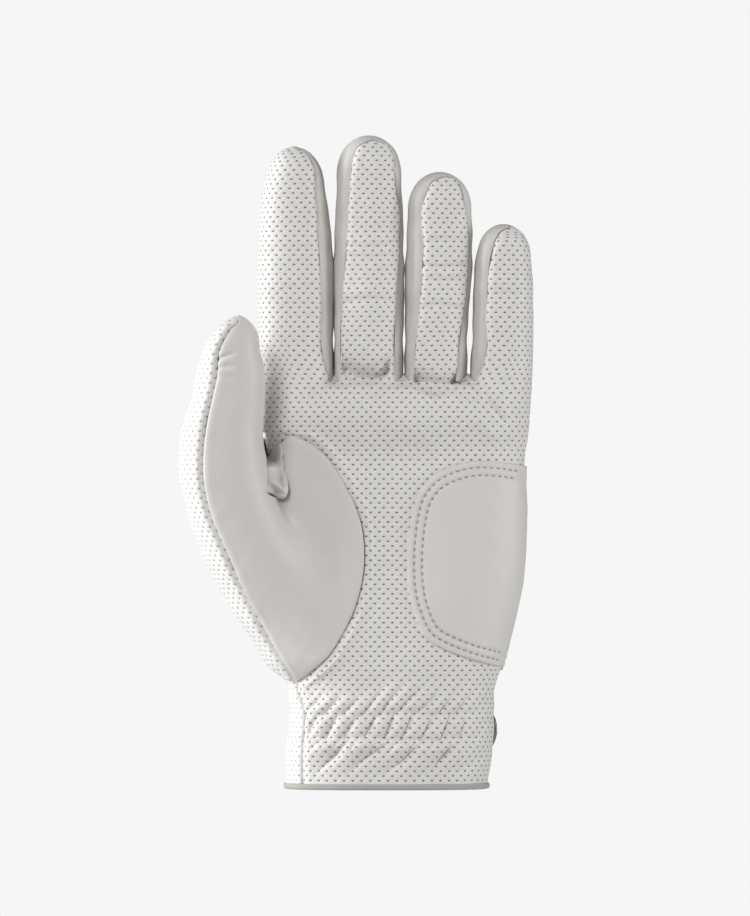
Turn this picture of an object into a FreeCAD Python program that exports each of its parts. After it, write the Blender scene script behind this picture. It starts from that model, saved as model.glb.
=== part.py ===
import FreeCAD, Part

import math
import os

# A golf glove for the left hand, filled out as if worn. Millimetres.
# +Z runs from the wrist to the fingertips, the palm faces -Y and the thumb is on the -X side.
# The origin is the centre of the hand opening, in the plane of the hem.
# The hand is one hollow skin, cut into the pieces that are sewn together; each finger is a skin of its own.

V = FreeCAD.Vector

# driving dimensions
LEATHER = 0.9  # thickness of every leather panel
BINDING_HEIGHT = 2.9  # tape round the hem
WEB_Z = 146.0  # top of the hand, between the fingers
FOURCHETTE_HALF = 6.0  # half depth of the strips between the fingers
SEAM_END = 7.0  # a fourchette ends this far below the fingertip
SIDE_SEAM_Y = 6.0  # where the palm panel meets the back panel, round the outer edges
HINGE_DEPTH = 6.0  # a finger bends this far behind its palm surface
HINGE_GAP = 0.7  # half the gap between two segments behind the hinge
CREASE = HINGE_DEPTH + 1.4  # height of the open crease in front of the hinge
FAR = 90.0  # reach of the cutting prisms

# hand: height, left edge, right edge, centre y, half depth
HAND = (
    (0.0, -35.3, 34.4, 1.0, 21.5),
    (12.0, -34.9, 35.2, 1.0, 21.5),
    (26.0, -34.2, 36.4, 0.8, 20.6),
    (37.0, -35.0, 37.6, 0.5, 20.2),
    (50.0, -37.0, 41.0, 0.0, 20.0),
    (69.0, -39.5, 45.3, 0.0, 19.3),
    (92.0, -41.5, 47.3, 0.0, 17.8),
    (112.0, -42.8, 48.2, 0.0, 16.4),
    (130.0, -44.0, 49.4, 0.0, 14.8),
    (140.0, -44.4, 49.9, 0.0, 13.6),
    (WEB_Z, -44.4, 49.9, 0.0, 12.4),
)
HAND_POWER = 2.5
CUT_SINK = 3.0  # the cutting tools run past the open wrist by this much

# fingers: name, centre x, tip height, half width, half depth, knuckle height, middle joint height
FINGERS = (
    ("index", -31.9, 222.0, 12.3, 11.9, 153.5, 177.0),
    ("middle", -6.8, 226.0, 11.6, 12.0, 153.5, 179.0),
    ("ring", 17.2, 213.5, 10.7, 11.4, 152.5, 175.0),
    ("little", 39.6, 195.0, 10.2, 10.6, 152.0, 169.5),
)
FINGER_POWER = 2.4
FINGER_ROOT_Z = 134.0  # the fingers start inside the hand
CURL = 6.0  # how far a fingertip leans towards the palm
TIP_TAPER = 0.88  # width at the fingertip over width at the root
FINGER_GAPS = (-19.1, 5.5, 28.6)  # x of the planes between neighbouring fingers
WEB_HALF = 6.5  # half width and depth below the hand's top of the gussets between the fingers
WEB_DROP = 4.0

# thumb: height, centre x, centre y, half width, half depth
THUMB = (
    (38.0, -19.5, -1.0, 14.5, 13.0),
    (52.0, -31.0, -3.0, 16.4, 15.0),
    (66.0, -39.3, -5.5, 17.0, 16.0),
    (82.0, -47.5, -8.0, 17.0, 16.4),
    (100.0, -54.5, -11.5, 16.0, 15.6),
    (120.0, -57.4, -15.5, 14.2, 14.0),
    (134.0, -56.4, -17.8, 12.2, 12.4),
    (146.0, -55.4, -19.6, 10.2, 10.8),
)
THUMB_TIP = (163.4, -53.6, -21.5)
THUMB_KNUCKLE_Z = 126.0
THUMB_TIP_JOINT_Z = 147.0
PAD_SEAM = 1.8  # the thumb's seams lie this far from its centre towards the pad
PAD = V(math.cos(math.radians(-35)), math.sin(math.radians(-35)), 0)  # the way the thumb's pad faces

# panel outlines on the palm, as x, z
THENAR_TOP = (-33.8, 122.5)
THENAR_SIDE = (-8.3, 80.0)
THENAR_FOOT = (-31.0, 37.6)
THUMB_SEAM = ((-33.0, 38.0), (-49.3, 67.3), (-61.4, 94.9), (-64.0, 108.7), (-62.8, 126.0))
THUMB_PANEL_EDGE = -43.0  # left of here the panel ends at the thumb's own side seam, as y, z
THUMB_PANEL_DEPTH = (
    (-FAR, 0),
    (-1, 0),
    (-2, 52),
    (-7, 80),
    (-11, 100),
    (-15, 120),
    (-16.5, 135),
    (-FAR, 135),
)
CUFF_SEAM_X = -29.5
PALM_OUTLINE = (
    (CUFF_SEAM_X, -5),
    (CUFF_SEAM_X, 37),
    (-34, 45),
    (-34, 110),
    (-44.5, 122),
    (-55, 126),
    (-55, 170),
    (70, 170),
    (70, -5),
)
HEEL_PATCH = (6.8, 113.0, 42.5, 19.0)  # left edge, top, foot, corner radius
HEEL_PATCH_REACH = 60.0
STITCH_ROWS = (("outer", 1.8), ("inner", 4.0))  # how far each row runs inside the patch's edge
STITCH = (1.5, 0.5, 0.4)  # length, width, height of one stitch
STITCH_PITCH = 2.6

# wrist
ELASTICS = (("upper", 27.6), ("lower", 17.3))  # height of each elastic's middle
ELASTIC_HEIGHT = 5.0
ELASTIC_THICK = 0.8
SLIT_X = -8.0
SLIT_WIDTH = 3.0
SLIT_TOP = 52.0
SLIT_TAPE = 3.2

# closure: each layer is a band between two distances from the hand's outer surface
TAB_LOW, TAB_HIGH = 7.0, 33.0
TAB_HINGE_X = -20.0
TAB_END_X = 36.6
TAB_LAYER = (2.2, 3.2)
HOOK_LAYER = (1.3, 2.1)
LOOP_LAYER = (0.1, 0.9)
ANCHOR_LAYER = (0.1, 2.5)
ANCHOR_WIDTH = 6.0
TAB_GAP = 0.9  # between the sewn anchor and the edge that the tab opens about
TAB_HINGE_Y = 23.3  # the tab opens about an edge just outside it
FLAT_PATCH_INSET = 3.0

# ball marker
MARKER_R = 10.0
MARKER_THICK = 1.3
MARKER_Z = 20.0
MARKER_TURN = math.radians(27.8)  # its face points this far round from +Y towards +X
MARKER_FOOT = (28.0, 20.3)  # x, y of the point under it, on the tab
HOLDER_R = 8.6
HOLDER_TOP = 1.6
MAGNET_R = 4.0
MAGNET_THICK = 1.2


def section(z, cx, cy, half_x, half_y, power):
    """A closed, smooth, rounded outline at one height."""
    points = []
    count = 20
    for i in range(count):
        angle = 2 * math.pi * i / count
        c = math.cos(angle)
        s = math.sin(angle)
        x = math.copysign(abs(c) ** (2 / power), c) * half_x
        y = math.copysign(abs(s) ** (2 / power), s) * half_y
        points.append(V(cx + x, cy + y, z))
    curve = Part.BSplineCurve()
    curve.interpolate(Points=points, PeriodicFlag=True)
    return Part.Wire([curve.toShape()])


def tube(rows, power, grow=0.0):
    """A solid through rows of height, centre x, centre y, half width, half depth."""
    wires = [section(z, cx, cy, a + grow, b + grow, power) for z, cx, cy, a, b in rows]
    return Part.makeLoft(wires, True, False, False, 3)


def hand(grow=0.0, top_drop=0.0, sink=0.0):
    """The hand without its fingers, grown outwards by an even amount."""
    rows = []
    for z, left, right, cy, half_depth in HAND:
        if z == WEB_Z:
            z -= top_drop
        rows.append((z, (left + right) / 2, cy, (right - left) / 2, half_depth))
    if sink:
        rows[0] = (rows[0][0] - sink,) + rows[0][1:]
    return tube(rows, HAND_POWER, grow)


def dome(cx, cy, half_x, half_y, foot, tip, drop_power=0.5):
    """Rows that close a fingertip as a rounded end."""
    rows = []
    for share in (0.4, 0.65, 0.85, 0.95, 0.99):
        scale = (1 - share**2) ** drop_power
        rows.append((foot + (tip - foot) * share, cx, cy, half_x * scale, half_y * scale))
    return rows


def finger_lean(z, tip):
    """Centre y of a finger at one height."""
    share = max(0.0, (z - FINGER_ROOT_Z) / (tip - FINGER_ROOT_Z))
    return -CURL * share**2


def finger(row, grow=0.0):
    """One finger as a closed solid, from inside the hand to its tip."""
    _, cx, tip, half_width, half_depth, _, _ = row
    tip = tip + grow
    foot = tip - 1.25 * half_width
    rows = []
    for step in range(7):
        share = step / 6
        z = FINGER_ROOT_Z + (foot - FINGER_ROOT_Z) * share
        taper = 1 + (TIP_TAPER - 1) * share**2
        rows.append((z, cx, finger_lean(z, tip), half_width * taper + grow, half_depth * taper + grow))
    _, _, cy, a, b = rows[-1]
    return tube(rows + dome(cx, cy - 1.0, a, b, foot, tip), FINGER_POWER)


def thumb(grow=0.0):
    """The thumb as a closed solid, from inside the hand to its tip."""
    rows = [(z, cx, cy, a + grow, b + grow) for z, cx, cy, a, b in THUMB]
    foot, cx, cy, a, b = rows[-1]
    tip_z, tip_x, tip_y = THUMB_TIP
    end = dome(0, 0, a, b, foot, tip_z + grow)
    for z, _, _, half_x, half_y in end:
        share = (z - foot) / (tip_z - foot)
        rows.append((z, cx + (tip_x - cx) * share, cy + (tip_y - cy) * share, half_x, half_y))
    return tube(rows, FINGER_POWER)


def joined(shapes):
    """Several solids made into one."""
    return shapes[0].fuse(shapes[1:])


def glove_skin():
    """The hand with the roots of the fingers and thumb, hollow and open at the wrist."""
    stubs = [thumb().common(below_thumb_hinge(THUMB_KNUCKLE_Z))]
    for row in FINGERS:
        knuckle = row[5]
        room = side_prism(below_hinge(hinge_y(row, knuckle), knuckle), -FAR, FAR)
        stubs.append(finger(row).common(room))
    outer = joined([hand()] + stubs)
    fingers = [finger(row, -LEATHER) for row in FINGERS]
    return outer.cut(joined([hand(-LEATHER, LEATHER, CUT_SINK), thumb(-LEATHER)] + fingers))


def prism(points, direction, offset=None):
    """A solid swept from a flat outline."""
    face = Part.Face(Part.makePolygon(points + [points[0]]))
    solid = face.extrude(direction)
    if offset:
        solid.translate(offset)
    return solid


def front_prism(outline, y_low=-FAR, y_high=0.0):
    """A prism along Y through an outline given as x, z."""
    return prism([V(x, y_low, z) for x, z in outline], V(0, y_high - y_low, 0))


def side_prism(outline, x_low, x_high):
    """A prism along X through an outline given as y, z."""
    return prism([V(x_low, y, z) for y, z in outline], V(x_high - x_low, 0, 0))


def box(x, y, z):
    """A box between pairs of limits."""
    return Part.makeBox(x[1] - x[0], y[1] - y[0], z[1] - z[0], V(x[0], y[0], z[0]))


def kept(shape, smallest=0.5):
    """A compound of the solids worth keeping, without boolean crumbs."""
    solids = [s for s in shape.Solids if s.Volume > smallest]
    return solids[0] if len(solids) == 1 else Part.makeCompound(solids)


def below_hinge(y, z):
    """Outline, as y and z, of what stays below a bend: low in front of the hinge, for the crease."""
    step = y + 0.4
    return [
        (-FAR, -FAR),
        (-FAR, z - CREASE),
        (step, z - CREASE),
        (step, z - HINGE_GAP),
        (FAR, z - HINGE_GAP),
        (FAR, -FAR),
    ]


def above_hinge(z):
    """Outline, as y and z, of what moves above a bend."""
    return [(-FAR, z + HINGE_GAP), (FAR, z + HINGE_GAP), (FAR, z + 2 * FAR), (-FAR, z + 2 * FAR)]


def hinge_y(row, z):
    """Depth of a finger's hinge at one height."""
    return finger_lean(z, row[2]) - row[4] + HINGE_DEPTH


def palm_seam(row, offset):
    """The palm panel's edge along a finger, as y and z, at an even distance from the finger's centre."""
    root = FINGER_ROOT_Z - 2
    tip = row[2]
    heights = [root + (tip - SEAM_END - root) * step / 5 for step in range(6)] + [tip + 4]
    return [(finger_lean(z, tip) + offset, z) for z in heights]


def side_band(row, x_low, x_high):
    """The room of a fourchette: a band that follows the finger's lean and ends in a point near the tip."""
    tip = row[2]
    front = palm_seam(row, -FOURCHETTE_HALF)[:-1]
    back = palm_seam(row, FOURCHETTE_HALF)[:4]
    point = [(tip - SEAM_END - 7, FOURCHETTE_HALF / 2), (tip - SEAM_END - 2, -FOURCHETTE_HALF / 2)]
    outline = front + [(finger_lean(z, tip) + offset, z) for z, offset in reversed(point)] + back[::-1]
    return side_prism(outline, x_low, x_high)


def palm_room(row, offset, x_low, x_high):
    """Everything on the palm side of a finger's seam."""
    seam = palm_seam(row, offset)
    return side_prism([(-FAR, seam[0][1])] + seam + [(-FAR, seam[-1][1])], x_low, x_high)


def palm_rooms(row, banded):
    """The palm panel's room on one finger; on an unbanded side it wraps round to the back panel."""
    cx = row[1]
    if len(banded) == 2:
        return palm_room(row, -FOURCHETTE_HALF, -FAR, FAR)
    rooms = []
    for limits in ((-FAR, cx), (cx, FAR)):
        offset = -FOURCHETTE_HALF if limits in banded else FOURCHETTE_HALF
        rooms.append(palm_room(row, offset, *limits))
    return rooms[0].fuse(rooms[1])


def finger_pieces(row):
    """One finger's moving pieces, by name: palm side, back side and fourchettes of both segments."""
    name, cx, _, _, _, knuckle, middle = row
    left = (-FAR, cx)
    right = (cx, FAR)
    banded = {"index": (right,), "little": (left,)}.get(name, (left, right))
    bands = [side_band(row, *limits) for limits in banded]
    room = palm_rooms(row, banded)
    shell = finger(row).cut(finger(row, -LEATHER))
    base = shell.common(side_prism(above_hinge(knuckle), -FAR, FAR))
    base = base.common(side_prism(below_hinge(hinge_y(row, middle), middle), -FAR, FAR))
    end = shell.common(side_prism(above_hinge(middle), -FAR, FAR))
    pieces = {}
    for part, body in (("base", base), ("tip", end)):
        rest = body
        for band in bands:
            rest = rest.cut(band)
        pieces[f"{name}_palm_{part}"] = kept(rest.common(room))
        pieces[f"{name}_fourchette_{part}"] = kept(Part.makeCompound([body.common(band) for band in bands]))
        pieces[f"{name}_back_{part}"] = kept(rest.cut(room))
    return pieces


def pad_prism(outline, centre):
    """A prism across the thumb through an outline given as distance towards the pad, and z."""
    across = V(-PAD.y, PAD.x, 0)
    points = [centre + PAD * q + across * -FAR + V(0, 0, z) for q, z in outline]
    return prism(points, across * (2 * FAR))


def thumb_axis_point(z):
    """Centre of the thumb at one height, with its half depth."""
    for low, high in zip(THUMB, THUMB[1:]):
        if low[0] <= z <= high[0] or high is THUMB[-1]:
            share = (z - low[0]) / (high[0] - low[0])
            return [a + (b - a) * share for a, b in zip(low, high)]


def thumb_hinge(z):
    """The point that the thumb bends about at one height."""
    _, cx, cy, half_width, _ = thumb_axis_point(z)
    return V(cx, cy, 0) + PAD * (half_width - HINGE_DEPTH)


def below_thumb_hinge(z):
    """The room of what stays below a bend of the thumb, low at the pad for the crease."""
    outline = [
        (FAR, -FAR),
        (FAR, z - CREASE),
        (-0.4, z - CREASE),
        (-0.4, z - HINGE_GAP),
        (-FAR, z - HINGE_GAP),
        (-FAR, -FAR),
    ]
    return pad_prism(outline, thumb_hinge(z))


def thumb_pieces():
    """The thumb's moving pieces by name."""
    shell = thumb().cut(thumb(-LEATHER))
    base = shell.common(box((-FAR, 0), (-FAR, FAR), (THUMB_KNUCKLE_Z + HINGE_GAP, 2 * FAR)))
    base = base.common(below_thumb_hinge(THUMB_TIP_JOINT_Z))
    end = shell.common(box((-FAR, 0), (-FAR, FAR), (THUMB_TIP_JOINT_Z + HINGE_GAP, 2 * FAR)))
    pieces = {}
    for part, body, height in (("base", base, 137.0), ("tip", end, 146.0)):
        _, cx, cy, _, _ = thumb_axis_point(height)
        room = pad_prism([(PAD_SEAM, 0), (FAR, 0), (FAR, 2 * FAR), (PAD_SEAM, 2 * FAR)], V(cx, cy, 0))
        pieces[f"thumb_palm_{part}"] = kept(body.common(room))
        pieces[f"thumb_back_{part}"] = kept(body.cut(room))
    return pieces


def thenar_prism():
    """The thumb panel's outline: an arc across the palm, closed along the thumb's outer seam."""
    top, side, foot = (V(x, -FAR, z) for x, z in (THENAR_TOP, THENAR_SIDE, THENAR_FOOT))
    seam = [V(x, -FAR, z) for x, z in THUMB_SEAM]
    crotch = V(-44.0, -FAR, THUMB_SEAM[-1][1])
    edges = [Part.Arc(top, side, foot).toShape(), Part.makeLine(foot, seam[0])]
    edges += [Part.makeLine(a, b) for a, b in zip(seam, seam[1:] + [crotch])]
    edges.append(Part.makeLine(crotch, top))
    return Part.Face(Part.Wire(edges)).extrude(V(0, FAR, 0))


def root_pieces(skin):
    """The sewn pieces of the hand itself."""
    body = skin.common(box((-FAR, FAR), (-FAR, FAR), (BINDING_HEIGHT, 200)))
    body = body.cut(box((SLIT_X - SLIT_WIDTH / 2, SLIT_X + SLIT_WIDTH / 2), (0, FAR), (-5, SLIT_TOP)))
    pieces = {}
    for left, right, x in zip(FINGERS, FINGERS[1:], FINGER_GAPS):
        room = box((x - WEB_HALF, x + WEB_HALF), (-FOURCHETTE_HALF, FOURCHETTE_HALF), (WEB_Z - WEB_DROP, 160))
        pieces[f"{left[0]}_{right[0]}_web"] = kept(body.common(room))
        body = body.cut(room)
    thumb_side = box((-FAR, THUMB_PANEL_EDGE), (-FAR, FAR), (0, 200))
    thumb_front = side_prism(THUMB_PANEL_DEPTH, -FAR, FAR)
    outline = thenar_prism()
    left = body.common(thumb_side)
    right = body.cut(thumb_side)
    left_front = left.common(thumb_front)
    pieces["thumb_panel"] = kept(right.common(outline).fuse(left_front.common(outline)), 30)
    rest = right.cut(outline).fuse([left.cut(thumb_front), left_front.cut(outline)])
    palm_room = front_prism(PALM_OUTLINE, -FAR, SIDE_SEAM_Y)
    pieces["palm_panel"] = kept(rest.common(palm_room), 30)
    pieces["back_panel"] = kept(rest.cut(palm_room), 30)
    return pieces


def layer(limits):
    """A shell that follows the hand's surface between two distances from it."""
    low, high = limits
    return hand(high, 0, 1).cut(hand(low, 1, 2))


def patch_outline(inset=0.0):
    """The heel patch's edge as a wire, from the outer edge of the hand and back to it."""
    left, top, foot, radius = HEEL_PATCH
    left += inset
    top -= inset
    foot += inset
    radius -= inset
    far_x = HEEL_PATCH_REACH
    mid = radius * (1 - math.sqrt(0.5))
    points = {
        "top_far": V(far_x, -FAR, top - 1.0),
        "top": V(left + radius, -FAR, top),
        "top_mid": V(left + mid, -FAR, top - mid),
        "side_high": V(left, -FAR, top - radius),
        "side_low": V(left, -FAR, foot + radius),
        "foot_mid": V(left + mid, -FAR, foot + mid),
        "foot": V(left + radius, -FAR, foot),
        "foot_far": V(far_x, -FAR, foot - 3.0),
    }
    return [
        Part.makeLine(points["top_far"], points["top"]),
        Part.Arc(points["top"], points["top_mid"], points["side_high"]).toShape(),
        Part.makeLine(points["side_high"], points["side_low"]),
        Part.Arc(points["side_low"], points["foot_mid"], points["foot"]).toShape(),
        Part.makeLine(points["foot"], points["foot_far"]),
    ]


def heel_patch():
    """The leather patch over the heel of the palm."""
    edges = patch_outline()
    closing = Part.makeLine(edges[-1].Vertexes[-1].Point, edges[0].Vertexes[0].Point)
    room = Part.Face(Part.Wire(edges + [closing])).extrude(V(0, FAR + SIDE_SEAM_Y - 1, 0))
    return kept(layer((0.05, 0.05 + LEATHER)).common(room))


def patch_stitches(patch, inset):
    """One row of separate stitches that stand on the heel patch."""
    path = Part.Wire(patch_outline(inset))
    count = int(path.Length / STITCH_PITCH)
    points = path.discretize(Number=count * 2 + 1)
    length, width, height = STITCH
    stitches = []
    for i in range(0, len(points) - 1, 2):
        here, ahead = points[i], points[i + 1]
        hits = []
        for point in (here, ahead):
            ray = Part.makeLine(V(point.x, -60, point.z), V(point.x, 2, point.z))
            cut = ray.common(patch)
            hits.append(min((v.Point.y for v in cut.Vertexes), default=None))
        if None in hits:
            continue
        start = V(here.x, hits[0], here.z)
        along = (V(ahead.x, hits[1], ahead.z) - start).normalize()
        stitch = Part.makeBox(length, height, width, V(-length / 2, -height * 0.6, -width / 2))
        stitch.Placement = FreeCAD.Placement(start, FreeCAD.Rotation(along, V(0, 1, 0), V(0, 0, 1), "XYZ"))
        stitches.append(stitch)
    return Part.makeCompound(stitches)


def elastic(z):
    """An elastic tape sewn inside the palm side of the wrist."""
    ring = layer((-LEATHER - 0.2 - ELASTIC_THICK, -LEATHER - 0.2))
    room = box((-27, 30), (-FAR, 0), (z - ELASTIC_HEIGHT / 2, z + ELASTIC_HEIGHT / 2))
    return kept(ring.common(room))


def cuff_binding():
    """The tape round the hem, open at the slit."""
    ring = layer((-LEATHER - 0.7, 0.7)).common(box((-FAR, FAR), (-FAR, FAR), (0, BINDING_HEIGHT)))
    return kept(ring.cut(box((SLIT_X - SLIT_WIDTH / 2, SLIT_X + SLIT_WIDTH / 2), (0, FAR), (-5, 10))))


def slit_binding():
    """The tape round the opening at the back of the wrist."""
    half = SLIT_WIDTH / 2
    wide = half + SLIT_TAPE
    ring = layer((0.05, 0.75))
    outside = box((SLIT_X - wide, SLIT_X + wide), (0, FAR), (BINDING_HEIGHT + 0.9, SLIT_TOP + SLIT_TAPE))
    return kept(ring.common(outside.cut(box((SLIT_X - half, SLIT_X + half), (-1, FAR + 1), (-5, SLIT_TOP)))))


def tab_room(inset, start_x, end_x):
    """The tab's outline: straight where it is sewn, with a rounded free end."""
    low = TAB_LOW + inset
    high = TAB_HIGH - inset
    radius = (high - low) / 2 * 0.8
    end = end_x - inset
    k = radius * (1 - math.sqrt(0.5))
    a = V(start_x, 0, low)
    b = V(end - radius, 0, low)
    c = V(end, 0, low + radius)
    d = V(end, 0, high - radius)
    e = V(end - radius, 0, high)
    f = V(start_x, 0, high)
    edges = [
        Part.makeLine(a, b),
        Part.Arc(b, V(end - k, 0, low + k), c).toShape(),
        Part.makeLine(c, d),
        Part.Arc(d, V(end - k, 0, high - k), e).toShape(),
        Part.makeLine(e, f),
        Part.makeLine(f, a),
    ]
    return Part.Face(Part.Wire(edges)).extrude(V(0, FAR, 0))


def marker_place(solid, height):
    """Moves a solid made on +Z to stand on the tab, its foot at a height along the marker's axis."""
    axis = V(math.sin(MARKER_TURN), math.cos(MARKER_TURN), 0)
    foot = V(MARKER_FOOT[0], MARKER_FOOT[1], MARKER_Z) + axis * height
    solid.Placement = FreeCAD.Placement(foot, FreeCAD.Rotation(V(0, 0, 1), axis))
    return solid


def closure_pieces():
    """The pull tab, its hook and loop pads, and the ball marker's holder and magnet."""
    tab = layer(TAB_LAYER).common(tab_room(0, TAB_HINGE_X, TAB_END_X))
    hook = layer(HOOK_LAYER).common(tab_room(FLAT_PATCH_INSET, 6.0, TAB_END_X - 1))
    loop = layer(LOOP_LAYER).common(box((0.0, 33.0), (0, FAR), (TAB_LOW - 1, TAB_HIGH + 5)))
    anchor = layer(ANCHOR_LAYER).common(
        box((TAB_HINGE_X - TAB_GAP - ANCHOR_WIDTH, TAB_HINGE_X - TAB_GAP), (0, FAR), (TAB_LOW, TAB_HIGH))
    )
    holder = marker_place(Part.makeCylinder(HOLDER_R, 6), HOLDER_TOP - 6)
    well = marker_place(Part.makeCylinder(MAGNET_R + 0.1, 6), HOLDER_TOP - MAGNET_THICK)
    holder = kept(holder.cut(hand(TAB_LAYER[1] + 0.02)).cut(well))
    magnet = marker_place(Part.makeCylinder(MAGNET_R, MAGNET_THICK - 0.1), HOLDER_TOP - MAGNET_THICK + 0.02)
    disc = Part.makeCylinder(MARKER_R, MARKER_THICK)
    disc = disc.makeChamfer(0.35, [disc.Edges[0], disc.Edges[2]])
    dish = Part.makeCylinder(MARKER_R - 1.4, 1, V(0, 0, MARKER_THICK - 0.35))
    marker = marker_place(disc.cut(dish), HOLDER_TOP + 0.1)
    badge = marker_place(Part.makeCylinder(MARKER_R - 1.5, 0.3), HOLDER_TOP + 0.1 + MARKER_THICK - 0.34)
    return {
        "closure_tab": kept(tab),
        "hook_pad": kept(hook),
        "loop_pad": kept(loop),
        "tab_anchor": kept(anchor),
        "marker_holder": holder,
        "holder_magnet": magnet,
        "ball_marker": marker,
        "marker_face": badge,
    }


def main():
    os.makedirs("parts", exist_ok=True)
    skin = glove_skin()
    pieces = root_pieces(skin)
    for row in FINGERS:
        pieces.update(finger_pieces(row))
    pieces.update(thumb_pieces())
    patch = heel_patch()
    pieces["heel_patch"] = patch
    for name, inset in STITCH_ROWS:
        pieces[f"heel_patch_stitches_{name}"] = patch_stitches(patch, inset)
    for name, z in ELASTICS:
        pieces[f"wrist_elastic_{name}"] = elastic(z)
    pieces["cuff_binding"] = cuff_binding()
    pieces["slit_binding"] = slit_binding()
    pieces.update(closure_pieces())
    for name, shape in pieces.items():
        solids = shape.Solids
        bad = [s for s in solids if not s.isValid()]
        size = shape.BoundBox
        volume = sum(s.Volume for s in solids)
        print(f"{name}: {len(solids)} solids, {volume:.1f} mm3, invalid {len(bad)}")
        print(f"  x {size.XMin:.1f} to {size.XMax:.1f}, y {size.YMin:.1f} to {size.YMax:.1f}")
        print(f"  z {size.ZMin:.1f} to {size.ZMax:.1f}")
        shape.exportStep(f"parts/{name}.step")


main()
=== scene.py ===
import math

import bmesh
import bpy
import numpy as np
from mathutils import Matrix, Vector


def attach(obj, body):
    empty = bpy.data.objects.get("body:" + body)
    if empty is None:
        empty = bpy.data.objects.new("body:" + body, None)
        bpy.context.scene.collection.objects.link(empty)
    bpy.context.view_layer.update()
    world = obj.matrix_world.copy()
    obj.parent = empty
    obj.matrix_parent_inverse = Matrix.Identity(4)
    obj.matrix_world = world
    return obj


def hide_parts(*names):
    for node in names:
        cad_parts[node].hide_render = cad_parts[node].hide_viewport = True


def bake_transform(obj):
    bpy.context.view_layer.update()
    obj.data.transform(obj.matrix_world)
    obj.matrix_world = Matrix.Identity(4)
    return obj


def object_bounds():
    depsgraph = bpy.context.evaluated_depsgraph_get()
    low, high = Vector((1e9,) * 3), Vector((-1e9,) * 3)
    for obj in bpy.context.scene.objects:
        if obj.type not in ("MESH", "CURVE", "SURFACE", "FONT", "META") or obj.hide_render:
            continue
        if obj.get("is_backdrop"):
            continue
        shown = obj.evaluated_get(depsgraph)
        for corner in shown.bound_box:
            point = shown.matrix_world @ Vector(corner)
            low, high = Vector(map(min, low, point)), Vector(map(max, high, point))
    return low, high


# A left-hand golf glove, filled out as if worn, in the same frame as its CAD model.
# Every panel is a grid laid on the hand's form. Lengths are in millimetres until a mesh is made.

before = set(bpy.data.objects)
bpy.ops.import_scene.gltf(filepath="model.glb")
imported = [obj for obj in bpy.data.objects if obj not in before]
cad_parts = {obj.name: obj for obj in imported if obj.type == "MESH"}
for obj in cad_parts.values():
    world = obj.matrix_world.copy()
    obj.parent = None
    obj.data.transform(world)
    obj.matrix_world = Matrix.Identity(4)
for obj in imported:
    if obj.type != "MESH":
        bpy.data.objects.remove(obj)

MM = 0.001
HEM = 1.9
WEB = 141.0  # the palm's top edge, where the fingers leave it
CROTCH = 113.0  # the thumb leaves the hand here
SIDE_SEAM_Y = 6.0  # palm and back meet here on the sides of the hand
SLIT_X = -8.0  # the wrist slit's middle and top
SLIT_TOP = 51.5


def save_size(key, sizes):
    low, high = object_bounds()
    sizes[key] = [list(low), list(high)]


SIZES = {}
save_size("cad", SIZES)

# ---------------------------------------------------------------- measures


def smooth(rows):
    """A smooth curve through (height, value) rows, flat outside them."""
    z0 = np.array([r[0] for r in rows], float)
    v0 = np.array([r[1] for r in rows], float)
    slope = np.gradient(v0, z0)

    def value(z):
        z = np.clip(np.asarray(z, float), z0[0], z0[-1])
        i = np.clip(np.searchsorted(z0, z) - 1, 0, len(z0) - 2)
        h = z0[i + 1] - z0[i]
        t = (z - z0[i]) / h
        a = v0[i] * (1 + 2 * t) * (1 - t) ** 2 + v0[i + 1] * t * t * (3 - 2 * t)
        return a + h * (slope[i] * t * (1 - t) ** 2 + slope[i + 1] * t * t * (t - 1))

    return value


def ease(x, low, high):
    t = np.clip((np.asarray(x, float) - low) / (high - low), 0, 1)
    return t * t * (3 - 2 * t)


def bump(x, centre, width):
    return np.exp(-(((np.asarray(x, float) - centre) / width) ** 2))


# the hand: left edge, right edge, centre depth and half depth, by height
HAND_LEFT = smooth([(0, -35.5), (14, -35.2), (26, -33.9), (37, -34.9), (50, -37.2), (69, -39.6),
                    (92, -41.6), (112, -42.8), (130, -44.0), (150, -44.4)])
HAND_RIGHT = smooth([(0, 34.3), (14, 36.0), (26, 36.6), (34, 36.9), (40, 38.6), (48, 40.6), (69, 45.4),
                     (91, 47.4), (112, 47.2), (126, 49.0), (150, 50.0)])
HAND_CENTRE = smooth([(0, 1.0), (26, 0.8), (50, 0.0), (150, 0.0)])
HAND_DEPTH = smooth([(0, 21.5), (12, 21.5), (26, 20.6), (37, 20.2), (50, 20.0), (69, 19.3), (92, 17.8),
                     (112, 16.4), (130, 15.4), (141, 14.2), (150, 12.6)])

# the thumb, sunk in the hand at its foot
THUMB_LEFT = smooth([(36, -33.0), (41, -39.0), (52, -47.6), (69, -58.0), (83, -64.9), (95, -69.2),
                     (110, -72.2), (121, -71.8), (136, -67.6), (146, -65.4), (152, -64.0)])
THUMB_RIGHT = smooth([(36, -5.0), (52, -14.0), (69, -22.0), (83, -30.0), (95, -36.5), (104, -40.0),
                      (113, -42.3), (121, -43.4), (136, -42.6), (146, -42.9), (152, -44.4)])
THUMB_CENTRE = smooth([(36, -1.0), (52, -3.0), (66, -5.5), (82, -8.0), (100, -11.5), (120, -15.5),
                       (134, -17.8), (146, -19.6), (163, -21.5)])
THUMB_DEPTH = smooth([(36, 13.0), (52, 15.0), (66, 16.0), (82, 16.4), (100, 15.6), (120, 14.0),
                      (134, 12.4), (146, 10.8), (152, 10.2)])
THUMB_TIP = 163.4

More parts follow.
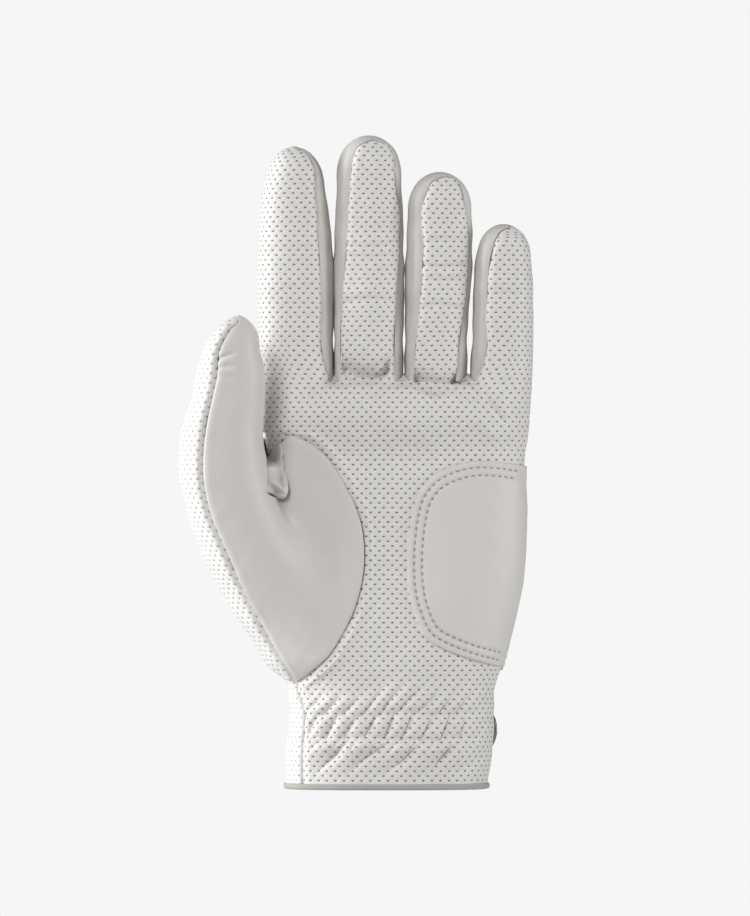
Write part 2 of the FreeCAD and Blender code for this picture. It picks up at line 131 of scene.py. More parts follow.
# seams by height: the thumb's outer seam, the D's curved seam, and the thumb's seam on the back
THUMB_SEAM = smooth([(2.9, -29.5), (14, -29.5), (27.6, -29.0), (34, -31.4), (38, -32.9), (48, -39.0),
                     (67, -49.3), (84.5, -57.1), (95, -61.4), (108.7, -64.0), (126, -62.8), (141.5, -59.4),
                     (152, -58.0), (158, -55.0), (161.5, -52.6)])
PALM_SEAM = smooth([(36.5, -32.0), (37.6, -30.4), (44.9, -21.7), (55.2, -14.8), (69, -9.7), (82.8, -8.3),
                    (93.2, -9.7), (105.2, -14.8), (112, -19.2), (117.3, -23.8), (120.5, -28.0),
                    (122.5, -33.8)])
REAR_SEAM = smooth([(0, -33.0), (38, -33.0), (60, -35.0), (80, -37.0), (100, -39.0), (113, -41.0)])

# fingers: left and right edge by height, tip, half depth, and the two seams of the palm strip
FINGERS = {
    "index": dict(
        left=smooth([(125, -44.0), (145, -44.4), (169, -45.4), (186, -45.2), (203.5, -43.8), (212, -42.4)]),
        right=smooth([(125, -18.9), (145, -18.9), (169, -19.0), (186, -19.1), (196.7, -20.2), (203.5, -21.2),
                      (212, -22.4)]),
        tip=222.0,
        depth=12.0,
        seam_left=None,
        seam_right=smooth([(125, -20.2), (141, -20.2), (147, -21.6), (152, -22.6), (169, -22.7), (186, -23.5),
                           (207, -24.8), (215.6, -25.4), (219, -27.2), (221.6, -30.4)]),
    ),
    "middle": dict(
        left=smooth([(125, -18.4), (145, -18.6), (169, -18.6), (190, -18.6), (203.5, -17.9), (213, -17.6)]),
        right=smooth([(125, 5.2), (145, 5.2), (169, 5.3), (190, 5.3), (203.5, 4.8), (213, 4.4)]),
        tip=226.0,
        depth=12.2,
        seam_left=smooth([(125, -16.9), (145, -16.9), (169, -16.6), (186, -14.9), (203.5, -14.0),
                          (213, -13.1), (219, -12.0), (222.5, -10.0), (224.4, -6.0)]),
        seam_right=smooth([(125, 2.2), (145, 2.4), (169, 3.3), (186, 4.3), (200, 4.3), (207, 3.3), (214, 2.6),
                           (220, 1.8), (223, -0.6), (224.4, -5.0)]),
    ),
    "ring": dict(
        left=smooth([(125, 5.9), (145, 5.8), (169, 6.1), (190, 6.4), (200, 7.0)]),
        right=smooth([(125, 27.3), (145, 27.3), (169, 27.9), (183, 29.0), (192, 29.1), (200, 28.7)]),
        tip=213.4,
        depth=11.5,
        seam_left=smooth([(125, 8.4), (145, 8.5), (169, 10.7), (186, 11.9), (203.5, 12.0), (207.5, 13.6),
                          (210.8, 16.4), (212.0, 20.0)]),
        seam_right=smooth([(125, 23.6), (141, 24.0), (152, 24.8), (169, 27.0), (186, 28.2), (195, 28.0),
                           (203.5, 26.6), (208, 25.4), (210.8, 23.4), (212.0, 20.6)]),
    ),
    "little": dict(
        left=smooth([(125, 28.3), (145, 28.6), (158, 29.3), (169, 29.7), (183, 30.4)]),
        right=smooth([(125, 49.0), (145, 50.0), (169, 50.3), (183, 49.5)]),
        tip=195.4,
        depth=10.7,
        seam_left=smooth([(125, 30.0), (141, 30.6), (148.4, 33.2), (165.6, 33.6), (179.4, 34.5), (187, 36.0),
                          (190.6, 37.2), (193.4, 39.6), (194.4, 42.0)]),
        seam_right=None,
    ),
}
NAMES = list(FINGERS)
ROOT_Z = 134.0  # above this the fingers lean towards the palm
TIP_DOME = 13.0  # height over which a fingertip closes
POWER = 2.4  # a digit's section, between an ellipse at 2 and a square
HAND_POWER = 2.5
WRAP = math.pi / 2 + 0.42  # how far the palm strip wraps round the outer side of the index and little finger


def section(cx, cy, a, b, angle, power=POWER):
    """Points on a rounded oval. Angle 0 faces the palm side and a positive angle goes to the right."""
    s, c = np.sin(angle), np.cos(angle)
    x = cx + a * np.sign(s) * np.abs(s) ** (2 / power)
    y = cy - b * np.sign(c) * np.abs(c) ** (2 / power)
    return x, y


def angle_at(x, cx, a, power=POWER):
    """The angle on the palm side whose point lies at x."""
    share = np.clip((x - cx) / np.maximum(a, 1e-6), -0.999, 0.999)
    return np.arcsin(np.sign(share) * np.abs(share) ** (power / 2))


def finger_form(name, z):
    """Centre, half width and half depth of a finger at each height, closed as a dome at its tip."""
    f = FINGERS[name]
    tip = f["tip"]
    left, right = f["left"](z), f["right"](z)
    share = np.clip((z - (tip - TIP_DOME)) / TIP_DOME, 0, 1)
    close = np.sqrt(np.maximum(1 - share**2.1, 0))
    lean = np.maximum(0, (z - ROOT_Z) / (tip - ROOT_Z)) ** 2
    cx = (left + right) / 2
    return cx, -6.0 * lean - 0.8 * share, (right - left) / 2 * close, f["depth"] * (1 - 0.1 * lean) * close


def finger_seams(name, z):
    """Angles of a finger's seams: palm left, palm right, back left, back right."""
    f = FINGERS[name]
    cx, _, a, _ = finger_form(name, z)
    left = angle_at(f["seam_left"](z), cx, a) if f["seam_left"] else np.full_like(z, -WRAP)
    right = angle_at(f["seam_right"](z), cx, a) if f["seam_right"] else np.full_like(z, WRAP)
    if name == "little":  # the tip seam turns over the finger's outer side
        right = WRAP + (angle_at(42.4, cx, a) - WRAP) * ease(z, 189.5, 194.4)
    if name == "index":
        left = -WRAP + 0.3 * ease(z, 216, 221.9)
    if name in ("middle", "ring"):
        shut = ease(z, f["tip"] - 1.9, f["tip"] - 1.4)
        middle = (left + right) / 2
        left, right = left + (middle - left) * shut, right + (middle - right) * shut
    back_left = left if name == "index" else -math.pi - left
    back_right = right if name == "little" else math.pi - right
    return left, right, back_left, back_right


# ---------------------------------------------------------------- the hand's outline at each height

TURN = np.linspace(math.pi / 2, math.pi * 5 / 2, 721)  # rear, left, palm side, right, rear


def reach(cx, cy, a, b, power, px, py):
    """How far each ray from (px, py) goes before it leaves an oval that holds that point."""
    low = np.zeros(len(TURN))
    high = np.full(len(TURN), 140.0)
    ux, uy = np.cos(TURN), np.sin(TURN)
    for _ in range(26):
        mid = (low + high) / 2
        inside = np.abs((px + ux * mid - cx) / a) ** power + np.abs((py + uy * mid - cy) / b) ** power < 1
        low = np.where(inside, mid, low)
        high = np.where(inside, high, mid)
    return low


class Outline:
    """The hand's outline at one height as a closed path, measured along its length."""

    def __init__(self, z, with_thumb=True):
        left, right = float(HAND_LEFT(z)), float(HAND_RIGHT(z))
        cy, b = float(HAND_CENTRE(z)), float(HAND_DEPTH(z))
        thumb = with_thumb and 36 <= z <= CROTCH
        tl, tr = float(THUMB_LEFT(z)), float(THUMB_RIGHT(z))
        px = (left + tr) / 2 if thumb else (left + right) / 2
        py = float(THUMB_CENTRE(z)) * 0.35 if thumb else cy
        r = reach((left + right) / 2, cy, (right - left) / 2, b, HAND_POWER, px, py)
        if thumb:
            width = 12.0 - 8.0 * float(ease(z, 80, CROTCH))
            centre, depth = float(THUMB_CENTRE(z)), float(THUMB_DEPTH(z))
            other = reach((tl + tr) / 2, centre, (tr - tl) / 2, depth, POWER, px, py)
            near = np.maximum(width - np.abs(r - other), 0) / width
            r = np.maximum(r, other) + near**2 * width / 4 * float(ease(z, 36, 46))
        self.x = px + np.cos(TURN) * r
        self.y = py + np.sin(TURN) * r
        self.s = np.concatenate([[0], np.cumsum(np.hypot(np.diff(self.x), np.diff(self.y)))])
        self.length = self.s[-1]
        i = int(np.argmin(self.x))
        j = int(np.argmax(self.x))
        self.palm_side = slice(i, j + 1)
        self.low, self.high = i, j

    def at_x(self, x):
        """Distance along the path of the palm-side point at x."""
        return np.interp(x, np.maximum.accumulate(self.x[self.palm_side]), self.s[self.palm_side])

    def rear_at_x(self, x):
        """The same for the left half of the back."""
        xs = self.x[: self.low + 1][::-1]
        return np.interp(x, np.maximum.accumulate(xs), self.s[: self.low + 1][::-1])

    def right_at_y(self, y):
        """The same for the right-hand side, at depth y on the back."""
        k = slice(self.high, None)
        return np.interp(y, np.maximum.accumulate(self.y[k]), self.s[k])

    def left_at_y(self, y):
        """The same for the left-hand side."""
        ys = self.y[: self.low + 1][::-1]
        return np.interp(y, np.maximum.accumulate(ys), self.s[: self.low + 1][::-1])

    def points(self, s):
        return np.interp(s, self.s, self.x), np.interp(s, self.s, self.y)


# ---------------------------------------------------------------- sheets


def heights(low, high, step):
    return np.linspace(low, high, max(3, int(round((high - low) / step)) + 1))


def tip_heights(low, foot, tip, step):
    """Even heights up to foot, then closer and closer up to the tip."""
    even = heights(low, foot, step)
    count = int((tip - foot) * math.pi / 2 / step)
    swing = np.linspace(0, math.pi / 2, count + 1)[1:]
    return np.concatenate([even, foot + (tip - foot) * np.sin(swing)])


def resampled(path, count):
    """A polyline with even steps."""
    path = np.asarray(path, float)
    s = np.concatenate([[0], np.cumsum(np.linalg.norm(np.diff(path, axis=0), axis=1))])
    t = np.linspace(0, s[-1], count)
    return np.stack([np.interp(t, s, path[:, k]) for k in range(path.shape[1])], axis=1)


def rounded(path, passes=3):
    """Cuts a polyline's corners until it is smooth."""
    path = np.asarray(path, float)
    for _ in range(passes):
        a, b = path[:-1], path[1:]
        cuts = np.stack([a * 0.75 + b * 0.25, a * 0.25 + b * 0.75], 1).reshape(-1, 2)
        path = np.concatenate([path[:1], cuts, path[-1:]])
    return path


def normals_of(points):
    """Normals of a grid of points, by the cross product of its two directions."""
    along = np.gradient(points, axis=0)
    across = np.gradient(points, axis=1)
    n = np.cross(across, along)
    size = np.linalg.norm(n, axis=2, keepdims=True)
    return n / np.maximum(size, 1e-9)


def lift(points, amount):
    """Moves each point of a grid along its normal."""
    return points + normals_of(points) * amount[..., None]


def sew(name, points, uv, leather, first=0, last=None, thick=0.8):
    """One piece of leather from rows first to last of a grid of points, with the whole grid's normals."""
    last = len(points) - 1 if last is None else last
    rows_used = slice(first, last + 1)
    normals = normals_of(points)[rows_used]
    points, uv = points[rows_used], uv[rows_used]
    rows, cols = points.shape[:2]
    bm = bmesh.new()
    bmesh.ops.create_grid(bm, x_segments=cols - 1, y_segments=rows - 1, size=1.0)
    layer = bm.loops.layers.uv.new("UVMap")
    key = bm.verts.layers.int.new("place")
    for v in bm.verts:
        col = int(round((v.co.x + 1) / 2 * (cols - 1)))
        row = int(round((v.co.y + 1) / 2 * (rows - 1)))
        v[key] = row * cols + col
        v.co = points[row, col] * MM
    flat_uv = uv.reshape(-1, 2)
    for face in bm.faces:
        for loop in face.loops:
            loop[layer].uv = flat_uv[loop.vert[key]] * 0.01
    bmesh.ops.remove_doubles(bm, verts=bm.verts, dist=2e-6)
    mesh = bpy.data.meshes.new(name)
    bm.verts.ensure_lookup_table()
    flat = normals.reshape(-1, 3)
    bm.normal_update()
    turned = sum(face.normal.dot(Vector(flat[face.verts[0][key]])) for face in bm.faces)
    if turned < 0:
        bmesh.ops.reverse_faces(bm, faces=bm.faces)
    mine = [flat[v[key]] for v in bm.verts]
    bm.to_mesh(mesh)
    bm.free()
    mesh.attributes.remove(mesh.attributes["place"])
    mesh.normals_split_custom_set_from_vertices(mine)
    mesh.materials.append(leather)
    obj = bpy.data.objects.new(name, mesh)
    bpy.context.scene.collection.objects.link(obj)
    if thick:
        wall = obj.modifiers.new("thickness", "SOLIDIFY")
        wall.thickness = thick * MM
        wall.offset = -1.0
    return obj


# ---------------------------------------------------------------- finishes


def linear(code):
    """An sRGB hex colour as linear RGBA."""
    parts = [int(code[i : i + 2], 16) / 255 for i in (0, 2, 4)]
    return [c / 12.92 if c <= 0.04045 else ((c + 0.055) / 1.055) ** 2.4 for c in parts] + [1.0]


def node(tree, kind, settings=None, links=None):
    """Adds a node with its settings, and links named inputs to other nodes' outputs."""
    n = tree.nodes.new(kind)
    for key, value in (settings or {}).items():
        if hasattr(n, key):
            setattr(n, key, value)
        else:
            n.inputs[int(key) if key.isdigit() else key].default_value = value
    for key, source in (links or {}).items():
        socket = n.inputs[int(key) if key.isdigit() else key]
        tree.links.new(source if isinstance(source, bpy.types.NodeSocket) else source.outputs[0], socket)
    return n


def finish(name, rough, spec=0.5, metal=0.0, coat=0.0):
    """A new material with one plain shader: the material, its nodes and the shader."""
    mat = bpy.data.materials.new(name)
    mat.use_nodes = True
    tree = mat.node_tree
    tree.nodes.clear()
    skin = node(tree, "ShaderNodeBsdfPrincipled", {"Roughness": rough, "Specular IOR Level": spec,
                                                   "Metallic": metal, "Coat Weight": coat})
    node(tree, "ShaderNodeOutputMaterial", links={"Surface": skin})
    return mat, tree, skin


def grain(tree, scale_mm, detail=3.0):
    """Leather grain as noise, from a grain size in millimetres."""
    place = node(tree, "ShaderNodeTexCoord")
    return node(tree, "ShaderNodeTexNoise", {"Scale": 1000.0 / scale_mm, "Detail": detail, "Roughness": 0.55},
                {"Vector": place.outputs["Object"]})


HOLE_PITCH = 3.03  # mm between holes in one row
ROW_PITCH = 3.3  # mm between two rows in step; the rows between are set half a pitch aside
HOLE_R = 0.47
HOLE_STRETCH = 1.6  # distances along the fingers count more, so a hole is wider than it is tall


def maths(tree, operation, a, b=None, c=None):
    """A sum of up to three numbers or node outputs."""
    settings = {"operation": operation}
    links = {}
    for key, value in (("0", a), ("1", b), ("2", c)):
        if value is None:
            continue
        if isinstance(value, (int, float)):
            settings[key] = float(value)
        else:
            links[key] = value
    return node(tree, "ShaderNodeMath", settings, links)


def hole_distance(tree, shift):
    """Distance in millimetres to the nearest hole of one set of rows."""
    uv = node(tree, "ShaderNodeUVMap", {"uv_map": "UVMap"})
    split = node(tree, "ShaderNodeSeparateXYZ", links={"0": uv})
    squares = []
    for output, pitch in (("X", HOLE_PITCH), ("Y", ROW_PITCH)):
        cells = maths(tree, "MULTIPLY_ADD", split.outputs[output], 100.0 / pitch, shift)
        part = maths(tree, "SUBTRACT", maths(tree, "FRACT", cells), 0.5)
        stretch = pitch if output == "X" else pitch * HOLE_STRETCH
        away = maths(tree, "ABSOLUTE", maths(tree, "MULTIPLY", part, stretch))
        squares.append(maths(tree, "POWER", away, 2.0))
    return maths(tree, "SQRT", maths(tree, "ADD", squares[0], squares[1]))


def perforated(name, colour, rough, hole_shade_colour):
    """Synthetic leather pierced with rows of small holes: matt, with the shade inside each hole painted dark
    in a soft dimple.
    """
    mat, tree, skin = finish(name, rough, 0.35)
    near = maths(tree, "MINIMUM", hole_distance(tree, 0.0), hole_distance(tree, 0.5))
    rim = {"interpolation_type": "SMOOTHSTEP", "1": HOLE_R - 0.16, "2": HOLE_R + 0.14, "3": 1.0, "4": 0.0}
    hole = node(tree, "ShaderNodeMapRange", rim, {"0": near})
    dip = {"interpolation_type": "SMOOTHSTEP", "1": 0.15, "2": 1.15, "3": -1.0, "4": 0.0}
    dimple = node(tree, "ShaderNodeMapRange", dip, {"0": near})
    fine = grain(tree, 0.9)
    # the holes are not cut: the shade seen inside each hole is painted in as its darker colour
    tones = {"data_type": "RGBA", "6": linear(colour), "7": linear(hole_shade_colour)}
    mix = node(tree, "ShaderNodeMix", tones, {"0": hole})
    tree.links.new(mix.outputs[2], skin.inputs["Base Color"])
    height = maths(tree, "MULTIPLY_ADD", fine.outputs["Fac"], 0.09, dimple)
    relief = node(tree, "ShaderNodeBump", {"Strength": 0.55, "Distance": 0.00035}, {"Height": height})
    tree.links.new(relief.outputs[0], skin.inputs["Normal"])
    return mat


def smooth_leather(name, colour, rough, grain_mm=1.1, strength=0.25):
    """Smooth cabretta leather: satin, with a fine pore grain and a faint cloudiness."""
    mat, tree, skin = finish(name, rough, 0.4)
    cloud = grain(tree, 22.0, 2.0)
    fine = grain(tree, grain_mm, 5.0)
    mix = node(tree, "ShaderNodeMix", {"data_type": "RGBA", "6": linear(colour), "7": linear("FFFFFF")},
               {"0": maths(tree, "MULTIPLY", cloud.outputs["Fac"], 0.06)})
    tree.links.new(mix.outputs[2], skin.inputs["Base Color"])
    depth = {"Strength": strength, "Distance": 0.0002}
    relief = node(tree, "ShaderNodeBump", depth, {"Height": fine.outputs["Fac"]})
    tree.links.new(relief.outputs[0], skin.inputs["Normal"])
    return mat


def plain(name, colour, rough, metal=0.0, coat=0.0, grain_mm=0.0, strength=0.3):
    """One plain colour, with a grain if it is woven or brushed."""
    mat, tree, skin = finish(name, rough, 0.5, metal=metal, coat=coat)
    skin.inputs["Base Color"].default_value = linear(colour)
    if grain_mm:
        relief = node(tree, "ShaderNodeBump", {"Strength": strength, "Distance": 0.0003},
                      {"Height": grain(tree, grain_mm).outputs["Fac"]})
        tree.links.new(relief.outputs[0], skin.inputs["Normal"])
    return mat


# the last colour of each pierced leather is the painted shade inside its holes
PALM = perforated("pierced white synthetic leather", "E4E2DF", 0.55, "777572")
BACK = perforated("pierced back leather", "EAE9E7", 0.6, "A6A4A1")
LEATHER = smooth_leather("smooth cabretta leather", "D3D0CC", 0.46)
GUSSET = smooth_leather("smooth fourchette leather", "D2CFCB", 0.5, 1.0, 0.3)
TAB = smooth_leather("white tab leather", "ECEBE8", 0.5)
PATCH = smooth_leather("soft heel patch leather", "DAD7D3", 0.5, 1.2, 0.3)
TAPE = plain("woven grey binding", "B0ADA9", 0.8, grain_mm=0.7)
# the thread's grey is partly its own pale colour and partly painted shade of its needle holes and groove
SHADED_THREAD = plain("polyester thread", "A3A09C", 0.7)
ELASTIC = plain("woven elastic", "E4E3E0", 0.8, grain_mm=0.8)
HOOK = plain("nylon hook tape", "DADAD8", 0.6, grain_mm=0.5, strength=0.8)
LOOP = plain("brushed nylon loop", "E2E1DE", 0.95, grain_mm=0.6, strength=1.0)
MOULDING = plain("moulded white nylon", "DEDDDA", 0.4)
STEEL = plain("nickel-plated magnet", "B4B4B2", 0.3, metal=1.0)
CHROME = plain("polished chrome", "8C8D90", 0.12, metal=1.0)
ENAMEL = plain("black enamel", "0E0E10", 0.12, coat=0.6)

# ---------------------------------------------------------------- relief of the worn leather


def near_path(x, z, path):
    """Distance from each point to a path of (x, z) points, and the side it is on."""
    best = np.full(np.shape(x), 1e9)
    side = np.zeros(np.shape(x))
    for (x0, z0), (x1, z1) in zip(path, path[1:]):
        dx, dz = x1 - x0, z1 - z0
        t = np.clip(((x - x0) * dx + (z - z0) * dz) / (dx * dx + dz * dz), 0, 1)
        d = np.hypot(x - x0 - t * dx, z - z0 - t * dz)
        closer = d < best
        side = np.where(closer, np.sign((x - x0) * dz - (z - z0) * dx), side)
        best = np.minimum(best, d)
    return best, side


def waves(x, z, scale, seed):
    """Soft irregular waves of about one scale, between -1 and 1."""
    rng = np.random.default_rng(seed)
    total = 0
    for _ in range(7):
        turn, phase, size = rng.uniform(0, math.pi), rng.uniform(0, 6.28), scale * rng.uniform(0.7, 1.5)
        total = total + np.sin((x * math.cos(turn) + z * math.sin(turn)) * 6.28 / size + phase)
    return total / 4


def pillow(phase):
    """A row of rounded swells, one for each whole step of phase, with sharp creases between them."""
    across = phase - np.floor(phase) - 0.5
    return np.sqrt(np.maximum(1 - (across / 0.5) ** 2, 0))


def cuff_gathers(x, z):
    """The puffs that two rows of elastic make in the wrist: short between the rows, long above and below."""
    wobble = waves(x, z, 19, 5)
    upper = 25.6 + 0.9 * waves(x, 0 * z, 15, 6)
    lower = 17.6 + 0.7 * waves(x, 0 * z, 15, 7)
    middle, half = (upper + lower) / 2, (upper - lower) / 2 + 0.3
    phase = (x - 0.45 * (z - middle)) / 6.5 + 0.10 * wobble
    between = 1.9 * pillow(phase) * np.sqrt(np.maximum(1 - ((z - middle) / half) ** 2, 0))
    rise = z - upper
    reach_up = 9 + 6 * ease(x, -12, 8)
    fold = (x - 0.85 * rise) / 6.5 + 0.5 + 0.08 * wobble
    above = 1.5 * pillow(fold) * np.sqrt(np.clip(rise / 3, 0, 1)) * (1 - ease(rise, 2, reach_up))
    drop = lower - z
    long_fold = (x + 1.05 * drop) / 12.5 + 0.12 * wobble
    short_fold = (x + 0.7 * drop) / 6.5 + 0.5 + 0.08 * wobble
    long_swells = 2.0 * pillow(long_fold) * (1 - ease(drop, 5, 14))
    short_swells = 1.1 * pillow(short_fold) * (1 - ease(drop, 1, 7))
    below = (long_swells + short_swells) * np.sqrt(np.clip(drop / 3, 0, 1))
    shade = ease(x, -31, -26) * (1 - 0.8 * ease(x, 18, 34))
    return shade * (1.3 * (between + above + below) - 0.9 * ease(z, 4, 12) * (1 - ease(z, 30, 44)))


DIGIT_CREASES = (
    # centre x, height, half width, bow, depth, spread
    (-6.8, 187.0, 10.0, 0.02, 0.55, 1.0),
    (-6.8, 183.5, 10.0, 0.015, 0.35, 1.3),
    (-6.8, 169.0, 10.0, -0.01, 0.55, 1.3),
    (19.0, 189.8, 8.0, -0.02, 0.4, 1.1),
    (19.0, 180.0, 9.0, 0.02, 0.7, 1.1),
    (18.5, 175.5, 9.0, 0.02, 0.4, 1.2),
    (18.0, 167.0, 9.0, -0.02, 0.55, 1.2),
    (-33.0, 186.0, 9.0, 0.01, 0.25, 1.5),
    (-33.0, 172.0, 9.0, 0.01, 0.2, 1.8),
    (41.0, 171.0, 8.0, 0.01, 0.25, 1.6),
)


def palm_swells(x, z):
    """The broad pads and valleys of the palm, and the rolls at the roots of the fingers."""
    r = 3.4 * bump(z, 130, 9) * ease(x, -44, -34) * (1 - ease(x, 30, 49))
    r = r - 2.0 * bump(z, 115, 7) * bump(x, 4, 30)
    r = r - 1.8 * bump(x, 2, 15) * bump(z, 82, 28)
    for cx, low, bow, half in ((-7.6, 141.2, 0.055, 9.6), (16.8, 137.4, 0.062, 9.0)):
        line = low + bow * (x - cx) ** 2
        inside = 1 - ease(np.abs(x - cx), half - 2.4, half)
        spread = np.where(z > line, 4.2, 1.3)
        r = r - inside * 5.4 * bump(z, line, 1.0) ** (1 / spread**2)
    d, _ = near_path(x, z, [(24.5, 139.5), (30.0, 137.0), (35.0, 132.6), (38.5, 127.5)])
    return r - 1.7 * np.exp(-((d / 1.9) ** 2)) + 0.7 * np.exp(-((d - 5) ** 2) / 10)


def palm_relief(x, z):
    """The creases and gathers of the palm side."""
    r = 0
    for cx, height, half, bow, depth, spread in DIGIT_CREASES:
        line = height + bow * (x - cx) ** 2
        inside = 1 - ease(np.abs(x - cx), half - 3, half)
        r = r + inside * depth * (-bump(z, line, spread) + 0.55 * bump(z, line + 2.2 * spread, 1.4 * spread))
    r = r + cuff_gathers(x, z)
    return r + 0.16 * waves(x, z, 16, 1) + 0.05 * waves(x, z, 6, 2)


# the tuck where the thumb leaves the hand: its outer ridge, its edge at the thumb, and a fold between them
FOLD = [(-41.6, 101.9), (-39.6, 100.8), (-37.2, 100.2), (-35.3, 100.7), (-34.3, 102.8), (-34.5, 106.2),
        (-34.9, 108.4), (-36.0, 110.4), (-35.7, 112.4), (-36.6, 114.4), (-36.2, 116.6), (-36.9, 119.6)]
FOLD_EDGE = [(-42.4, 102.6), (-42.7, 106), (-42.7, 110), (-42.3, 113.8), (-40.2, 116.6), (-37.1, 119.9)]
TUCK = [(-42.2, 107.6), (-39.8, 106.4), (-37.6, 104.8), (-36.0, 103.2), (-35.0, 101.8)]
SEAM_PATH = [(float(PALM_SEAM(z)), z) for z in np.linspace(37.6, 122.5, 48)]


def under_tuck(x, z):
    """How far the leather sinks below the tuck."""
    d, side = near_path(x, z, FOLD)
    inside = np.where(side < 0, d, 0.0)
    return 2.2 * ease(inside, 0.1, 1.6) * (1 - ease(inside, 7.5, 9.5)) * ease(x, -42.0, -40.6) * (z < 120.5)


def thumb_relief(x, z):
    """The creases of the smooth thumb panel."""
    crease = 0
    for height, slope, depth in ((148.3, 0.35, 0.9), (145.4, 0.1, 0.7), (142.6, -0.1, 0.35)):
        crease = crease - depth * bump(z, height + slope * (x + 59), 0.8)
    spread = ease(x, -63, -60) * (1 - ease(x, -57, -50))
    return crease * spread + 0.25 * waves(x, z, 24, 8) + 0.07 * waves(x, z, 7, 9)


def press(points, swells):
    """Moves a grid towards the palm side by its swells, less where it faces another way."""
    facing = np.clip(-normals_of(points)[..., 1], 0, 1)
    moved = points.copy()
    moved[..., 1] -= swells * ease(facing, 0, 0.9)
    return moved


def edge_roll(distance, depth=0.75, width=0.9, puff=0.25):
    """A seam: the leather rolls down to it, with a low swell beside it."""
    d = np.maximum(distance, 0)
    return -depth * np.exp(-((d / width) ** 2)) + puff * np.exp(-(((d - 2.4) / 1.4) ** 2))


def across_length(points):
    """Distance along each row of a grid from its first point."""
    step = np.linalg.norm(np.diff(points, axis=1), axis=2)
    return np.concatenate([np.zeros((len(points), 1)), np.cumsum(step, axis=1)], axis=1)


def along_length(points, column):
    step = np.linalg.norm(np.diff(points[:, column], axis=0), axis=1)
    return np.concatenate([[0], np.cumsum(step)])


# ---------------------------------------------------------------- palm and back of the hand

GAP = 7  # columns across each gap between two fingers
STRIP = 46  # columns across a finger's palm or back


def finger_rim(name, z, back):
    """Angles where a finger's palm strip or back strip begins and ends, left to right or right to left."""
    left, right, back_left, back_right = finger_seams(name, z)
    return (back_right, 2 * math.pi + back_left) if back else (left, right)


def digits_row(z, back):
    """Points across all four fingers at one height, with the dips between them."""
    names = NAMES[::-1] if back else NAMES
    spans, zz = [], np.array([float(z)])
    for name in names:
        start, end = finger_rim(name, zz, back)
        angle = start[0] + (end[0] - start[0]) * np.linspace(0, 1, STRIP)
        cx, cy, a, b = finger_form(name, zz)
        spans.append(np.stack(section(cx[0], cy[0], a[0], b[0], angle), axis=1))
    rows = [spans[0]]
    for before, after in zip(spans, spans[1:]):
        t = np.linspace(0, 1, GAP + 2)[1:-1, None]
        gap = before[-1] * (1 - t) + after[0] * t
        dip = 0.6 + 1.2 * float(ease(z, 135, WEB))
        gap[:, 1] += (-1 if back else 1) * dip * np.sin(math.pi * t[:, 0])
        rows += [gap, after]
    return np.concatenate(rows)


SIDE_COLUMNS = 19  # columns on the outer side of the index or little finger


def shares_across(back):
    """How far round the hand each column of a sheet lies, from 0 to 1, in line with the fingers' columns."""
    top = Outline(WEB)
    if back:
        low, high = top.right_at_y(SIDE_SEAM_Y), top.length + top.left_at_y(SIDE_SEAM_Y)
    else:
        low, high = top.left_at_y(SIDE_SEAM_Y), top.right_at_y(SIDE_SEAM_Y)
    path = np.linspace(low, high, 400)
    px, _ = top.points(path % top.length)
    root = digits_row(WEB, back)
    order = -1 if back else 1
    share = (np.interp(order * root[:, 0], np.maximum.accumulate(order * px), path) - low) / (high - low)
    share = 0.9 * np.maximum.accumulate(share) + 0.1 * np.linspace(0, 1, len(share))
    share = (share - share[0]) / (share[-1] - share[0])
    # x hardly changes along the hand's outer sides, so the columns there go by length
    arc = along_length(root[:, None], 0)
    n = SIDE_COLUMNS
    share[:n] = share[n] * arc[:n] / arc[n]
    share[-n:] = 1 - (1 - share[-n - 1]) * (arc[-1] - arc[-n:]) / (arc[-1] - arc[-n - 1])
    return share


def back_places(ring, z, share):
    """Places of the back sheet's columns along the outline at height z."""
    low = ring.right_at_y(SIDE_SEAM_Y)
    high = ring.length + (ring.rear_at_x(REAR_SEAM(z)) if z <= CROTCH else ring.left_at_y(SIDE_SEAM_Y))
    return low + (high - low) * share


def palm_places(ring, z, share):
    """Places of the palm sheet's columns: from under the D, and above the thumb from the hand's side."""
    high = ring.right_at_y(SIDE_SEAM_Y)
    under = ring.at_x(PALM_SEAM(min(z, 121))) - 5.0
    front = ring.at_x(min(float(THUMB_RIGHT(z)) + 3.0, -25.0))
    side = ring.left_at_y(SIDE_SEAM_Y) if z > CROTCH else front
    low = under + (front - under) * ease(z, 92, 112) + (side - front) * ease(z, CROTCH, 126)
    if z <= 42:
        low = low + (ring.at_x(THUMB_SEAM(z)) - low) * (1 - ease(z, 36.5, 42))
        return low + (high - low) * share
    turn_in = (side - low) * ease(z, CROTCH, CROTCH + 1.2)
    return low + (high - low) * share + turn_in * (1 - ease(share, 0, 0.14))


def hand_sheet(back):
    """The palm or back panel of the hand: heights, points, pattern and the distance to its two long edges."""
    zs = np.concatenate([heights(HEM, WEB, 0.62), [WEB + 0.6, WEB + 1.2]])
    share = shares_across(back)
    places = back_places if back else palm_places
    order = -1 if back else 1
    points = np.zeros((len(zs), len(share), 3))
    uv = np.zeros((len(zs), len(share), 2))
    to_edge = np.zeros((len(zs), len(share)))
    for i, z in enumerate(zs):
        ring = Outline(min(z, WEB))
        s = places(ring, z, share)
        x, y = ring.points(s % ring.length)
        w = float(ease(z, 126, WEB)) ** 1.3
        if w > 0:  # the outline turns into the four fingers, and the dips between them come last
            digits = digits_row(z, back)
            sunk = ease(np.abs(y) - np.abs(digits[:, 1]), 1, 4)
            late = w + (float(ease(z, 138.5, WEB)) - w) * sunk
            x, y = x * (1 - w) + digits[:, 0] * w, y * (1 - late) + digits[:, 1] * late
        points[i] = np.stack([x, y, np.full(len(share), z)], axis=1)
        zero = ring.length if back else ring.at_x(0.0)
        uv[i] = np.stack([(s - zero) * order, np.full(len(share), z)], axis=1)
        to_edge[i] = np.minimum(s - s[0], s[-1] - s)
    return zs, points, uv, to_edge


